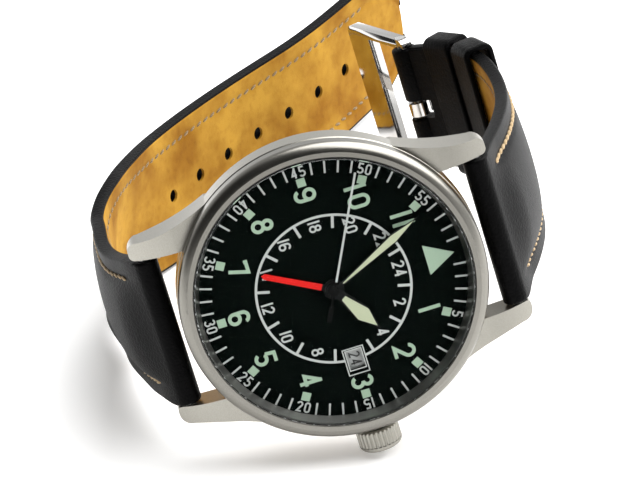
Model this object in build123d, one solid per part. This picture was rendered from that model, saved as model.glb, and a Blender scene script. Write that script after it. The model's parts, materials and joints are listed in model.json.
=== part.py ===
from build123d import *
from math import atan2, cos, degrees, pi, radians, sin, sqrt
import os

# Pilot watch, unbuckled, lying on the 3 o'clock side of its case and on one strap half.
# Lengths are in millimetres. Every piece is made in the watch's own axes, with the origin
# at the centre of the dial's front: +X to 3 o'clock, +Y to 12 o'clock, +Z out of the dial.
# The last section turns the whole watch the way it lies, +Z up, and sets it on the floor.

# How the watch lies
lean_back = 10.7
twelve_rise = 13.1

# Clearances
running_gap = 0.04
soft_gap = 0.3
overrun = 1.0

# Case middle and lugs
case_radius = 19.9
case_shoulder_height = -0.6
case_wall_foot_height = -3.6
case_foot_height = -5.0
case_foot_slope = 1.2
case_foot_radius = case_radius - case_foot_slope
case_wall = 3.0
case_bore_radius = case_radius - case_wall
case_edge_chamfer = 0.2
neck_step = 1.0
neck_radius = case_radius - neck_step
neck_height = 0.6
lug_width = 20.8
lug_thickness = 2.4
lug_end_wall = 1.75
lug_root_angle = 38.4
lug_flank_dip = 0.45
lug_root_bottom_height = -4.1
lug_shoulder = 1.7
lug_tip_round = 1.3
lug_top_height = -0.75
lug_drop_lead = 2.3
lug_drop_start = case_radius - lug_drop_lead
lug_tip_height = -2.9
lug_bottom_height = -5.4
lug_crest_share = 0.62
spring_bar_height = -3.1

# Bezel, crystal and inner flange
bezel_step = 0.05
bezel_radius = case_radius - bezel_step
bezel_wall = 1.85
bezel_bore_radius = bezel_radius - bezel_wall
bezel_top_height = 2.15
bezel_brow_width = 1.1
bezel_crest_radius = bezel_radius - bezel_brow_width
bezel_brow_height = 0.55
bezel_foot_height = -0.45
bezel_bulge_share = 0.42
bezel_edge_chamfer = 0.12
gasket_thickness = 0.1
crystal_radius = bezel_bore_radius - gasket_thickness
crystal_bottom_height = 1.35
crystal_thickness = 1.0
crystal_chamfer = 0.1
gasket_top_height = 2.0
flange_foot_width = 0.7
flange_top_width = 0.15
flange_outer_radius = crystal_radius
flange_foot_radius = flange_outer_radius - flange_foot_width
flange_top_radius = flange_outer_radius - flange_top_width

# Case back
back_foot_margin = 0.8
back_radius = case_foot_radius - back_foot_margin
back_rim_height = -6.3
back_face_height = -7.0
back_face_margin = 2.3
back_face_radius = back_radius - back_face_margin
back_inner_height = -5.35
back_neck_gap = 0.05
back_neck_radius = case_bore_radius - back_neck_gap
back_neck_wall = 0.95
back_neck_bore = back_neck_radius - back_neck_wall
back_neck_height = -4.5
back_groove_radius = 17.05
back_gasket_width = 0.5
back_gasket_depth = 0.3
back_notch_count = 6
back_notch_width = 1.6
back_notch_depth = 0.35

# Dial and its prints
dial_edge_gap = 0.05
dial_radius = flange_outer_radius - dial_edge_gap
dial_thickness = 0.4
dial_hole_radius = 1.0
dial_foot_radius = 0.25
dial_foot_reach = 12.47
dial_foot_length = 0.9
print_thickness = 0.03
lume_thickness = 0.08
marker_side = 1.12
marker_reach = 14.9
triangle_foot_reach = 12.3
triangle_tip_reach = 16.0
triangle_half_width = 2.05
hour_numeral_height = 2.9
hour_numeral_width = 1.85
hour_numeral_line = 0.46
hour_numeral_gap = 0.76
hour_numeral_reach = 12.6
side_numeral_reach = 13.15
minute_numeral_height = 1.45
minute_numeral_width = 0.8
minute_numeral_line = 0.22
minute_numeral_gap = 0.22
minute_numeral_reach = 16.35
minute_bar_inner = 15.55
minute_bar_outer = 17.15
minute_bar_width = 0.25
day_ring_radius = 9.93
day_ring_line = 0.32
day_tick_width = 0.36
day_tick_length = 1.6
day_numeral_height = 1.6
day_numeral_width = 0.92
day_numeral_line = 0.24
day_numeral_gap = 0.24
day_numeral_reach = 8.72
window_inner = 8.72
window_outer = 11.32
window_half_height = 1.0
window_print_inner = 8.35
window_print_outer = 12.05
window_print_half_height = 1.42
window_print_line = 0.14

# Hands
hand_thickness = 0.14
day_hand_height = 0.22
hour_hand_height = 0.5
minute_hand_height = 0.78
second_hand_height = 1.06
hand_rim = 0.14
day_hand_angle = 208.9
hour_hand_angle = 57.8
minute_hand_angle = 334.0
second_hand_angle = 295.5
day_hand_tip = 9.5
day_hand_root_width = 0.84
day_hand_tip_width = 0.74
hour_lume_root = 1.6
hour_lume_belly = 5.0
hour_lume_tip = 7.4
hour_lume_root_width = 0.7
hour_lume_belly_width = 1.95
minute_lume_root = 1.5
minute_lume_belly = 10.1
minute_lume_tip = 13.6
minute_lume_root_width = 0.16
minute_lume_belly_width = 1.02
second_hand_tip = 16.0
second_hand_width = 0.26
second_hand_tail = 4.2
second_hand_tail_width = 0.6
day_hub_radius = 1.35
hour_hub_radius = 1.15
minute_hub_radius = 0.95
second_hub_radius = 0.6

# Nested pipes at the centre, from the inside out
second_arbor_radius = 0.12
centre_tube_radius = 0.28
cannon_radius = 0.42
hour_pipe_radius = 0.62
day_pipe_radius = 0.84

# Date disc
date_count = 31
date_shown = 24
date_disc_inner = 8.35
date_disc_outer = 12.0
date_disc_top = -0.5
date_disc_thickness = 0.12
date_tooth_depth = 0.3
date_numeral_height = 1.45
date_numeral_width = 0.78
date_numeral_line = 0.2
date_numeral_gap = 0.25
date_numeral_reach = 10.05

# Main plate and bridges
plate_radius = 12.8
plate_rim_inner = 12.15
plate_floor_height = -1.25
plate_land_height = -0.66
plate_boss_inner = 5.5
plate_boss_outer = 8.0
plate_boss_height = -0.47
plate_bottom_height = -2.2
plate_wall_inner = 11.7
bridge_top_height = -3.7
bridge_thickness = 0.5
bridge_radius = 12.7
bridge_screw_radius = 0.45
bridge_screw_reach = 12.15
bridge_screw_length = 1.1
bridge_screw_head = 0.25
bridge_screw_angles = (20.0, 75.0, 130.0, 285.0, 340.0)
cock_screw_angle = 215.0
jewel_radius = 0.55
jewel_thickness = 0.3
pivot_radius = 0.12
holder_radius = 16.85
holder_bottom_height = -4.2
clamp_reach = 14.05
clamp_length = 3.4
clamp_width = 2.4
clamp_thickness = 0.3
clamp_angles = (60.0, 240.0)
clamp_screw_radius = 0.7

# Going train: barrel, centre, third, fourth and escape wheels
barrel_teeth = 90
centre_pinion_teeth = 12
centre_teeth = 80
third_pinion_teeth = 10
third_teeth = 75
fourth_pinion_teeth = 10
fourth_teeth = 84
escape_pinion_teeth = 7
escape_teeth = 20
barrel_distance = 5.9
third_distance = 4.6
escape_distance = 3.87
barrel_angle = 90.0
third_angle = -90.0
escape_angle = 200.0
barrel_top_height = -2.7
barrel_bottom_height = -3.33
barrel_flange = 0.16
barrel_wall = 0.25
barrel_arbor_radius = 0.5
mainspring_core_radius = 1.0
mainspring_strip = 0.12
mainspring_turns = 9
centre_wheel_height = -2.5
third_wheel_height = -3.14
fourth_wheel_height = -3.55
escape_wheel_height = -2.82
wheel_thickness = 0.16
pinion_margin = 0.03
tooth_root_share = 0.62
tooth_tip_share = 0.26
tooth_addendum_share = 0.9
tooth_dedendum_share = 1.2
wheel_rim_share = 0.16
wheel_spoke_width = 0.34
wheel_spokes = 4

# Escapement and balance
pallet_distance = 2.55
pallet_arm_reach = 1.5
pallet_arm_width = 0.3
pallet_lever_length = 1.35
pallet_stone_length = 0.34
pallet_thickness = 0.16
pallet_staff_foot = 0.2
escape_wheel_radius = 2.1
balance_distance = 8.1
balance_angle = 215.0
balance_radius = 3.3
balance_rim_width = 0.45
balance_top_height = -3.2
balance_rim_height = 0.25
balance_roller_radius = 0.5
balance_arm_width = 0.4
hairspring_core_radius = 0.4
hairspring_outer_radius = 1.7
hairspring_strip = 0.05
hairspring_turns = 8
hairspring_height = 0.12
cock_width = 2.6

# Motion work under the dial
motion_distance = 2.6
motion_angle = 300.0
cannon_teeth = 12
minute_wheel_teeth = 36
hour_pinion_teeth = 10
hour_teeth = 40
day_pinion_teeth = 8
day_teeth = 64
cannon_gear_height = -1.12
hour_gear_height = -0.86
day_gear_height = -0.62
motion_gear_thickness = 0.12

# Rotor
rotor_radius = 12.2
rotor_rim_inner = 9.6
rotor_top_height = -4.4
rotor_web_thickness = 0.2
rotor_rim_thickness = 0.7
rotor_hub_radius = 2.0
rotor_axle_radius = 0.9
rotor_axle_head_radius = 1.7
rotor_axle_head = 0.2
rotor_window_share = 0.55

# Crown, tube and stem
crown_height = -1.8
crown_radius = 2.85
crown_gap = 0.25
crown_start = case_radius + crown_gap
crown_length = 3.05
crown_round = 0.7
crown_flutes = 30
crown_flute_radius = 0.24
crown_recess_radius = 1.7
crown_recess_depth = 2.4
tube_radius = 1.1
tube_bore_radius = 0.75
tube_inner_end = 17.2
tube_overhang = 1.4
tube_outer_end = case_radius + tube_overhang
crown_gasket_length = 0.7
stem_radius = 0.35
stem_inner_end = 7.4
stem_hole_radius = 0.42
stem_channel_radius = 0.6
winding_pinion_radius = 0.85
winding_pinion_start = 9.2
winding_pinion_length = 1.3
winding_pinion_teeth = 16
pinion_slot_margin = 0.12

# Straps: width, leather and lining, and the path that each half follows.
# A path is a start heading away from the case's axis and runs, each a length and its turn.
strap_width = 20.2
strap_tail_width = 18.0
strap_tip_width = 6.0
strap_tip_length = 10.0
leather_edge = 1.1
strap_tail_leather = 0.9
padding_crown = 1.65
flat_crown = 0.12
margin_share = 0.26
lining_thickness = 0.8
strap_end_radius = 1.65
strap_case_gap = 0.4
spring_bar_reach = case_radius + strap_case_gap + strap_end_radius
strap_fold_length = 4.2
long_heading = 30.5
long_runs = ((8.0, -14.7), (10.0, -9.6), (12.0, -7.8), (12.0, -27.0), (11.0, -7.2),
             (14.0, -5.6), (14.0, -4.9), (14.0, 6.9), (17.6, 1.5))
long_padding_end = 62.0
hole_count = 7
hole_radius = 0.95
hole_pitch = 7.0
first_hole = 54.0
short_heading = 21.7
short_runs = ((9.8, -3.5), (7.3, -5.3), (7.4, -7.6), (7.4, -7.0), (6.0, -6.4), (5.5, -8.9),
              (6.3, -14.6), (8.3, -22.9))
short_padding_end = 44.0
short_flap_length = 15.0
spring_bar_radius = 0.85
spring_tip_radius = 0.4
spring_tip_length = 0.9
keeper_band = 5.0
keeper_thickness = 0.8
keeper_height = 2.9
keeper_side_gap = 0.3
fixed_keeper_place = 50.7
free_keeper_place = 43.3

# Each half's drift: a distance, how far its middle has moved to 3 o'clock, and its twist
long_drift = ((0.0, 0.0, 0.0), (12.0, 0.9, -2.0), (24.0, 0.6, 2.6), (38.0, -1.2, 18.0),
              (56.0, -0.35, 8.0), (84.0, -0.15, 8.0), (112.6, -1.1, 9.5))
short_drift = ((0.0, 0.0, 0.0), (24.0, 0.0, 0.0), (46.0, -1.0, 0.0), (58.0, -0.8, 0.0))

# Buckle
buckle_width = 20.8
buckle_opening_width = 18.2
buckle_opening_length = 7.9
buckle_far_bar = 5.8
buckle_thickness = 1.5
buckle_near = 1.5
buckle_corner = 2.2
buckle_bar_radius = 0.75
buckle_heading = -23.0
tongue_heading = 4.0
tongue_width = 1.9
tongue_thickness = 1.1
tongue_overhang = 0.8
tongue_eye_radius = 1.5
tongue_slot_gap = 0.35
tongue_slot_length = 6.2


def ring(outer, inner, bottom, top):
    """A ring about the dial's axis between two heights."""
    height = top - bottom
    solid = Cylinder(outer, height)
    if inner > 0:
        solid -= Cylinder(inner, height)
    return Pos(0, 0, (bottom + top) / 2) * solid


def disc(radius, bottom, top, x=0, y=0):
    """A disc on any axis parallel to the dial's."""
    return Pos(x, y, (bottom + top) / 2) * Cylinder(radius, top - bottom)


def turned(points):
    """A solid of revolution about the dial's axis from corners given as radius and height."""
    corners = [(radius, 0, height) for radius, height in points]
    return revolve(make_face(Polyline(*corners, close=True)), axis=Axis.Z)


def block(x0, x1, y0, y1, z0, z1):
    """A box between two corners."""
    centre = Pos((x0 + x1) / 2, (y0 + y1) / 2, (z0 + z1) / 2)
    return centre * Box(x1 - x0, y1 - y0, z1 - z0)


def bar_along_x(radius, start, end, y=0, z=0):
    """A round bar parallel to the line from 9 to 3 o'clock."""
    return Pos((start + end) / 2, y, z) * Rot(0, 90, 0) * Cylinder(radius, end - start)


def plate_face(points, height):
    """A flat outline at a height, from its corners in the dial's plane."""
    return make_face(Polyline(*[(x, y, height) for x, y in points], close=True))


def polar(reach, angle):
    """The place at a distance from the centre and an angle counted from 3 o'clock."""
    return reach * cos(radians(angle)), reach * sin(radians(angle))


def clock(angle):
    """Turns an angle counted clockwise from 12 o'clock into one counted from 3 o'clock."""
    return 90 - angle


def group(solids):
    """Separate solids of one node."""
    pieces = []
    for solid in solids:
        pieces.extend(solid.solids())
    return Compound(pieces)


# Case

def lug_block():
    """The lug beside 3 o'clock at the 12 o'clock end, before it joins the case."""
    inner = lug_width / 2
    outer = inner + lug_thickness
    tip = spring_bar_reach + lug_end_wall
    root_x, root_y = polar(case_radius, lug_root_angle)
    shoulder_y = tip - lug_shoulder
    middle_x = (root_x + outer) / 2 - lug_flank_dip
    middle_y = (root_y + shoulder_y) / 2
    start_y = root_y / 2
    outline = [
        Line((inner, start_y), (inner, tip)),
        Line((inner, tip), (outer, tip)),
        Line((outer, tip), (outer, shoulder_y)),
        ThreePointArc((outer, shoulder_y), (middle_x, middle_y), (root_x, root_y)),
        Line((root_x, root_y), (root_x, start_y)),
        Line((root_x, start_y), (inner, start_y)),
    ]
    plan = make_face(Wire(outline))
    plan = fillet(plan.vertices().group_by(Axis.Y)[-1].sort_by(Axis.X)[-1], lug_tip_round)
    plan = fillet(plan.vertices().group_by(Axis.Y)[-1].sort_by(Axis.X)[0], lug_tip_round / 2)
    upright = extrude(Pos(0, 0, lug_bottom_height) * plan, lug_top_height - lug_bottom_height)
    crest_y = lug_drop_start + lug_crest_share * (tip - lug_drop_start)
    crest_z = lug_top_height + lug_crest_share ** 2 * (lug_tip_height - lug_top_height)
    sole_y = spring_bar_reach - lug_shoulder
    profile = [
        Line((0, start_y, lug_top_height), (0, lug_drop_start, lug_top_height)),
        ThreePointArc((0, lug_drop_start, lug_top_height), (0, crest_y, crest_z),
                      (0, tip, lug_tip_height)),
        Line((0, tip, lug_tip_height), (0, tip, lug_bottom_height + lug_tip_round)),
        Line((0, tip, lug_bottom_height + lug_tip_round),
             (0, tip - lug_tip_round, lug_bottom_height)),
        Line((0, tip - lug_tip_round, lug_bottom_height), (0, sole_y, lug_bottom_height)),
        Line((0, sole_y, lug_bottom_height), (0, start_y, lug_root_bottom_height)),
        Line((0, start_y, lug_root_bottom_height), (0, start_y, lug_top_height)),
    ]
    side = extrude(make_face(Wire(profile)), case_radius, both=True)
    return upright & side


def case_middle():
    body = turned([
        (case_bore_radius, case_foot_height), (case_foot_radius, case_foot_height),
        (case_radius, case_wall_foot_height),
        (case_radius, case_shoulder_height - case_edge_chamfer),
        (case_radius - case_edge_chamfer, case_shoulder_height),
        (neck_radius, case_shoulder_height), (neck_radius, neck_height),
        (flange_outer_radius, neck_height), (flange_outer_radius, -dial_thickness),
        (case_bore_radius, -dial_thickness)])
    lug = lug_block()
    lugs = [lug, lug.mirror(Plane.YZ), lug.mirror(Plane.XZ), lug.mirror(Plane.YZ).mirror(Plane.XZ)]
    for piece in lugs:
        body += piece
    bore = ring(case_bore_radius, 0, lug_bottom_height - overrun, -dial_thickness)
    seat = ring(flange_outer_radius, 0, -dial_thickness, neck_height + overrun)
    body = body - bore - seat
    body -= ring(back_radius + running_gap, 0, lug_bottom_height - overrun, case_foot_height)
    tip_reach = lug_width / 2 + spring_tip_length
    for side in (-1, 1):
        body -= bar_along_x(spring_tip_radius + running_gap, -tip_reach - running_gap,
                            tip_reach + running_gap, side * spring_bar_reach, spring_bar_height)
    body -= bar_along_x(tube_radius, case_bore_radius - overrun, case_radius + overrun,
                        0, crown_height)
    return body


def bezel():
    brow = bezel_brow_height + (bezel_top_height - bezel_brow_height) * (1 - bezel_bulge_share / 2)
    crest = bezel_crest_radius + (bezel_radius - bezel_crest_radius) * (1 - bezel_bulge_share)
    inner = bezel_bore_radius
    lip = bezel_edge_chamfer
    outline = [
        Line((inner, 0, neck_height), (inner, 0, bezel_top_height - lip)),
        Line((inner, 0, bezel_top_height - lip), (inner + lip, 0, bezel_top_height)),
        Line((inner + lip, 0, bezel_top_height), (bezel_crest_radius, 0, bezel_top_height)),
        ThreePointArc((bezel_crest_radius, 0, bezel_top_height), (crest, 0, brow),
                      (bezel_radius, 0, bezel_brow_height)),
        Line((bezel_radius, 0, bezel_brow_height), (bezel_radius, 0, bezel_foot_height)),
        Line((bezel_radius, 0, bezel_foot_height), (neck_radius, 0, bezel_foot_height)),
        Line((neck_radius, 0, bezel_foot_height), (neck_radius, 0, neck_height)),
        Line((neck_radius, 0, neck_height), (inner, 0, neck_height)),
    ]
    return revolve(make_face(Wire(outline)), axis=Axis.Z)


def crystal():
    top = crystal_bottom_height + crystal_thickness
    return turned([(0, crystal_bottom_height), (crystal_radius, crystal_bottom_height),
                   (crystal_radius, top - crystal_chamfer),
                   (crystal_radius - crystal_chamfer, top), (0, top)])


def inner_flange():
    return turned([(flange_foot_radius, 0), (flange_top_radius, crystal_bottom_height),
                   (flange_outer_radius, crystal_bottom_height), (flange_outer_radius, 0)])


def case_back():
    body = turned([
        (0, back_face_height), (back_face_radius, back_face_height),
        (back_radius, back_rim_height), (back_radius, case_foot_height),
        (back_neck_radius, case_foot_height), (back_neck_radius, back_neck_height),
        (back_neck_bore, back_neck_height), (back_neck_bore, back_inner_height),
        (0, back_inner_height)])
    groove_outer = back_groove_radius + back_gasket_width
    body -= ring(groove_outer, back_groove_radius, case_foot_height - back_gasket_depth,
                 case_foot_height)
    for k in range(back_notch_count):
        notch = block(back_face_radius - back_notch_depth, back_radius + overrun,
                      -back_notch_width / 2, back_notch_width / 2,
                      back_face_height - overrun, back_rim_height)
        body -= Rot(0, 0, 360 * (k + 0.5) / back_notch_count) * notch
    return body


def movement_ring():
    body = ring(holder_radius, plate_radius + running_gap, holder_bottom_height, -dial_thickness)
    body -= bar_along_x(stem_channel_radius, plate_radius - overrun, holder_radius + overrun,
                        0, crown_height)
    for angle in clamp_angles:
        x, y = polar(clamp_reach, angle)
        body -= disc(clamp_screw_radius / 2, holder_bottom_height - overrun,
                     holder_bottom_height + overrun, x, y)
    return body


def case_clamps():
    """Two flat clamps that hold the movement down on its ring, each with its screw."""
    solids = []
    for angle in clamp_angles:
        x, y = polar(clamp_reach, angle)
        low = holder_bottom_height - clamp_thickness
        tab = block(clamp_reach - clamp_length / 2, clamp_reach + clamp_length / 2,
                    -clamp_width / 2, clamp_width / 2, low, holder_bottom_height)
        hole = disc(clamp_screw_radius / 2, low - overrun, holder_bottom_height + overrun,
                    clamp_reach, 0)
        solids.append(Rot(0, 0, angle) * (tab - hole))
        head = disc(clamp_screw_radius, low - clamp_thickness, low, x, y)
        shank = disc(clamp_screw_radius / 2, low, holder_bottom_height + overrun, x, y)
        solids.append(head + shank)
    return group(solids)


# Numerals, drawn as lines of one width

digit_store = {}


def digit_face(name, height, width, line):
    """One numeral as a flat face centred on the origin, drawn with a line of constant width."""
    key = (name, height, width, line)
    if key in digit_store:
        return digit_store[key]
    tall = height - line
    half = (width - line) / 2
    top, foot = tall / 2, -tall / 2
    upper = tall * 0.23
    lower = tall * 0.27
    if name == "0":
        outer = SlotOverall(height, width)
        face = Rot(0, 0, 90) * (outer - SlotOverall(height - 2 * line, width - 2 * line))
    elif name == "1":
        face = Rectangle(line, height)
    elif name == "2":
        turn = CenterArc((0, top - half), half, -35, 205)
        path = [turn, Line(turn @ 0, (-half, foot)), Line((-half, foot), (half, foot))]
        face = trace(Wire(path), line)
    elif name == "3":
        high = CenterArc((0, top - upper), upper, -90, 245)
        low = CenterArc((0, foot + lower), lower, -155, 245)
        face = trace(high, line) + trace(low, line)
    elif name == "4":
        stem = half * 0.4
        bar = foot + tall * 0.24
        slope = trace(Wire([Line((stem, top), (-half, bar)), Line((-half, bar), (half, bar))]), line)
        face = slope + Pos(stem, 0) * Rectangle(line, height)
    elif name == "5":
        corner = (-half * 0.85, foot + tall * 0.52)
        bowl = CenterArc((0, foot + lower), lower * 1.02, -150, 285)
        rise = Wire([Line(corner, (-half * 0.75, top)), Line((-half * 0.75, top), (half, top))])
        face = trace(bowl, line) + trace(rise, line)
    elif name in "69":
        loop = Circle(lower + line / 2) - Circle(lower - line / 2)
        loop = Pos(0, foot + lower) * loop
        hook = CenterArc((0, top - lower), lower, 20, 160)
        stem = Wire([hook, Line((-lower, top - lower), (-lower, foot + lower))])
        face = loop + trace(stem, line)
        if name == "9":
            face = Rot(0, 0, 180) * face
    elif name == "7":
        path = Wire([Line((-half, top - tall * 0.12), (-half, top)), Line((-half, top), (half, top)),
                     Line((half, top), (0, foot))])
        face = trace(path, line)
    elif name == "8":
        low = Circle(lower + line / 2) - Circle(lower - line / 2)
        high = Circle(upper + line / 2) - Circle(upper - line / 2)
        face = Pos(0, foot + lower) * low + Pos(0, top - upper) * high
    digit_store[key] = face
    return face


def number_solids(text, height, width, line, gap, thickness):
    """The solids of a number centred on the origin, a narrow cell for each 1."""
    cells = [line if name == "1" else width for name in text]
    total = sum(cells) + gap * (len(text) - 1)
    left = -total / 2
    solids = []
    for name, cell in zip(text, cells):
        face = Pos(left + cell / 2, 0) * digit_face(name, height, width, line)
        solids.extend(extrude(face, thickness).solids())
        left += cell + gap
    return solids


def hour_numerals():
    solids = []
    for hour in range(1, 12):
        reach = side_numeral_reach if hour in (3, 9) else hour_numeral_reach
        x, y = polar(reach, clock(30 * hour))
        place = Pos(x, y, 0)
        for solid in number_solids(str(hour), hour_numeral_height, hour_numeral_width,
                                   hour_numeral_line, hour_numeral_gap, lume_thickness):
            solids.append(place * solid)
    return group(solids)


def hour_markers():
    """A square beside each hour numeral and a plain triangle at 12 o'clock."""
    solids = []
    for hour in range(1, 12):
        square = block(-marker_side / 2, marker_side / 2, marker_reach - marker_side / 2,
                       marker_reach + marker_side / 2, 0, lume_thickness)
        solids.append(Rot(0, 0, -30 * hour) * square)
    triangle = plate_face([(-triangle_half_width, triangle_foot_reach),
                           (triangle_half_width, triangle_foot_reach),
                           (0, triangle_tip_reach)], 0)
    solids.append(extrude(triangle, lume_thickness))
    return group(solids)


def minute_print():
    """Bars at the minutes and a small numeral at every fifth minute."""
    solids = []
    for minute in range(60):
        if minute % 5:
            bar = block(-minute_bar_width / 2, minute_bar_width / 2, minute_bar_inner,
                        minute_bar_outer, 0, print_thickness)
            solids.append(Rot(0, 0, -6 * minute) * bar)
        elif minute:
            flip = 180 if 15 < minute < 45 else 0
            for solid in number_solids(str(minute), minute_numeral_height, minute_numeral_width,
                                       minute_numeral_line, minute_numeral_gap,
                                       print_thickness):
                upright = Rot(0, 0, flip) * solid
                solids.append(Rot(0, 0, -6 * minute) * Pos(0, minute_numeral_reach, 0) * upright)
    return group(solids)


def day_print():
    """The 24 hour ring, a tick at each odd hour and a numeral at each even hour."""
    outer = day_ring_radius + day_ring_line / 2
    circle = ring(outer, outer - day_ring_line, 0, print_thickness)
    for hour in range(1, 24, 2):
        tick = block(-day_tick_width / 2, day_tick_width / 2, outer - day_ring_line - day_tick_length,
                     day_ring_radius, 0, print_thickness)
        circle += Rot(0, 0, -15 * hour) * tick
    circle -= block(window_print_inner, window_print_outer, -window_print_half_height,
                    window_print_half_height, -overrun, overrun)
    solids = [circle]
    for hour in range(2, 25, 2):
        if hour == 6:
            continue
        x, y = polar(day_numeral_reach, clock(15 * hour))
        for solid in number_solids(str(hour), day_numeral_height, day_numeral_width,
                                   day_numeral_line, day_numeral_gap, print_thickness):
            solids.append(Pos(x, y, 0) * solid)
    return group(solids)


def window_frame():
    """A thin printed frame, with a second one close around the date window."""
    line = window_print_line
    outer = block(window_print_inner, window_print_outer, -window_print_half_height,
                  window_print_half_height, 0, print_thickness)
    outer -= block(window_print_inner + line, window_print_outer - line,
                   -window_print_half_height + line, window_print_half_height - line,
                   -overrun, overrun)
    inner = block(window_inner - line, window_outer + line, -window_half_height - line,
                  window_half_height + line, 0, print_thickness)
    inner -= block(window_inner, window_outer, -window_half_height, window_half_height,
                   -overrun, overrun)
    return group([outer, inner])


def dial():
    plate = ring(dial_radius, dial_hole_radius, -dial_thickness, 0)
    plate -= block(window_inner, window_outer, -window_half_height, window_half_height,
                   -dial_thickness - overrun, overrun)
    for angle in (clock(350), clock(170)):
        x, y = polar(dial_foot_reach, angle)
        plate += disc(dial_foot_radius, -dial_thickness - dial_foot_length, -dial_thickness, x, y)
    return plate


# Hands

def hand_turn(angle):
    """Turns a hand that was drawn pointing at 12 o'clock to its own angle."""
    return Rot(0, 0, -angle)


def rhomb(root, belly, tip, root_width, belly_width, height, rise):
    """A lance that widens from its root to a belly and runs out to a point."""
    outline = plate_face([(-root_width / 2, root), (-belly_width / 2, belly), (0, tip),
                          (belly_width / 2, belly), (root_width / 2, root)], height)
    return extrude(outline, rise)


def hand_with_lume(root, belly, tip, root_width, belly_width, hub, bore, height):
    """A skeleton hand: hub, arm and a rim around the opening that holds the lume."""
    rim = 2 * hand_rim
    body = rhomb(0, belly, tip + 2 * rim, root_width + rim, belly_width + rim, height,
                 hand_thickness)
    body += disc(hub, height, height + hand_thickness)
    opening = rhomb(root, belly, tip, root_width, belly_width, height - overrun,
                    hand_thickness + 2 * overrun)
    return body - opening - disc(bore, height - overrun, height + overrun)


def hour_hand():
    return hand_turn(hour_hand_angle) * hand_with_lume(
        hour_lume_root, hour_lume_belly, hour_lume_tip, hour_lume_root_width,
        hour_lume_belly_width, hour_hub_radius, hour_pipe_radius, hour_hand_height)


def hour_lume():
    return hand_turn(hour_hand_angle) * rhomb(
        hour_lume_root, hour_lume_belly, hour_lume_tip, hour_lume_root_width,
        hour_lume_belly_width, hour_hand_height, hand_thickness)


def minute_hand():
    return hand_turn(minute_hand_angle) * hand_with_lume(
        minute_lume_root, minute_lume_belly, minute_lume_tip, minute_lume_root_width,
        minute_lume_belly_width, minute_hub_radius, cannon_radius, minute_hand_height)


def minute_lume():
    return hand_turn(minute_hand_angle) * rhomb(
        minute_lume_root, minute_lume_belly, minute_lume_tip, minute_lume_root_width,
        minute_lume_belly_width, minute_hand_height, hand_thickness)


def second_hand():
    """A thin pointer with a short counterweight, on a hub that caps the centre."""
    low = second_hand_height
    high = low + hand_thickness
    body = block(-second_hand_width / 2, second_hand_width / 2, -second_hand_tail,
                 second_hand_tip, low, high)
    body += block(-second_hand_tail_width / 2, second_hand_tail_width / 2, -second_hand_tail,
                  -second_hand_tail / 2, low, high)
    body += disc(second_hub_radius, low, high)
    body -= disc(second_arbor_radius, low - overrun, high - hand_thickness / 2)
    return hand_turn(second_hand_angle) * body


def day_hand():
    """The 24 hour hand: a baton with a short pointed end."""
    point = day_hand_tip_width / 2
    outline = plate_face([
        (-day_hand_root_width / 2, 0), (-day_hand_tip_width / 2, day_hand_tip - point),
        (0, day_hand_tip), (day_hand_tip_width / 2, day_hand_tip - point),
        (day_hand_root_width / 2, 0)], day_hand_height)
    body = extrude(outline, hand_thickness)
    body += disc(day_hub_radius, day_hand_height, day_hand_height + hand_thickness)
    body -= disc(day_pipe_radius, day_hand_height - overrun, day_hand_height + overrun)
    return hand_turn(day_hand_angle) * body


# Wheels

def gear(teeth, radius_pitch, phase, bottom, top):
    """A toothed disc whose first tooth points along the phase angle."""
    module = 2 * radius_pitch / teeth
    tip = radius_pitch + module * tooth_addendum_share
    root = radius_pitch - module * tooth_dedendum_share
    pitch = 360 / teeth
    points = []
    for k in range(teeth):
        middle = phase + k * pitch
        points.append(polar(root, middle - pitch * tooth_root_share / 2))
        points.append(polar(tip, middle - pitch * tooth_tip_share / 2))
        points.append(polar(tip, middle + pitch * tooth_tip_share / 2))
        points.append(polar(root, middle + pitch * tooth_root_share / 2))
    return extrude(plate_face(points, bottom), top - bottom)


def spoked(teeth, radius_pitch, phase, bottom, top, hub):
    """A toothed wheel cut out between a rim, its spokes and a hub."""
    wheel = gear(teeth, radius_pitch, phase, bottom, top)
    inner = radius_pitch * (1 - wheel_rim_share)
    opening = ring(inner, hub, bottom - overrun, top + overrun)
    for k in range(wheel_spokes):
        spoke = block(0, inner + overrun, -wheel_spoke_width / 2, wheel_spoke_width / 2,
                      bottom - 2 * overrun, top + 2 * overrun)
        opening -= Rot(0, 0, 360 * k / wheel_spokes) * spoke
    return wheel - opening


def pair_radii(teeth_a, teeth_b, distance):
    """Pitch radii of two wheels that mesh at a distance."""
    return distance * teeth_a / (teeth_a + teeth_b), distance * teeth_b / (teeth_a + teeth_b)


def gap_phase(angle, teeth):
    """The phase that points a gap, not a tooth, along an angle."""
    return angle + 180 / teeth


third_place = polar(third_distance, third_angle)
barrel_place = polar(barrel_distance, barrel_angle)
escape_place = polar(escape_distance, escape_angle)
balance_place = polar(balance_distance, balance_angle)
motion_place = polar(motion_distance, motion_angle)
escape_to_balance = degrees(atan2(balance_place[1] - escape_place[1],
                                  balance_place[0] - escape_place[0]))
pallet_offset = polar(pallet_distance, escape_to_balance)
pallet_place = (escape_place[0] + pallet_offset[0], escape_place[1] + pallet_offset[1])
bridge_bottom_height = bridge_top_height - bridge_thickness
arbor_places = (third_place, escape_place, pallet_place)


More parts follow.
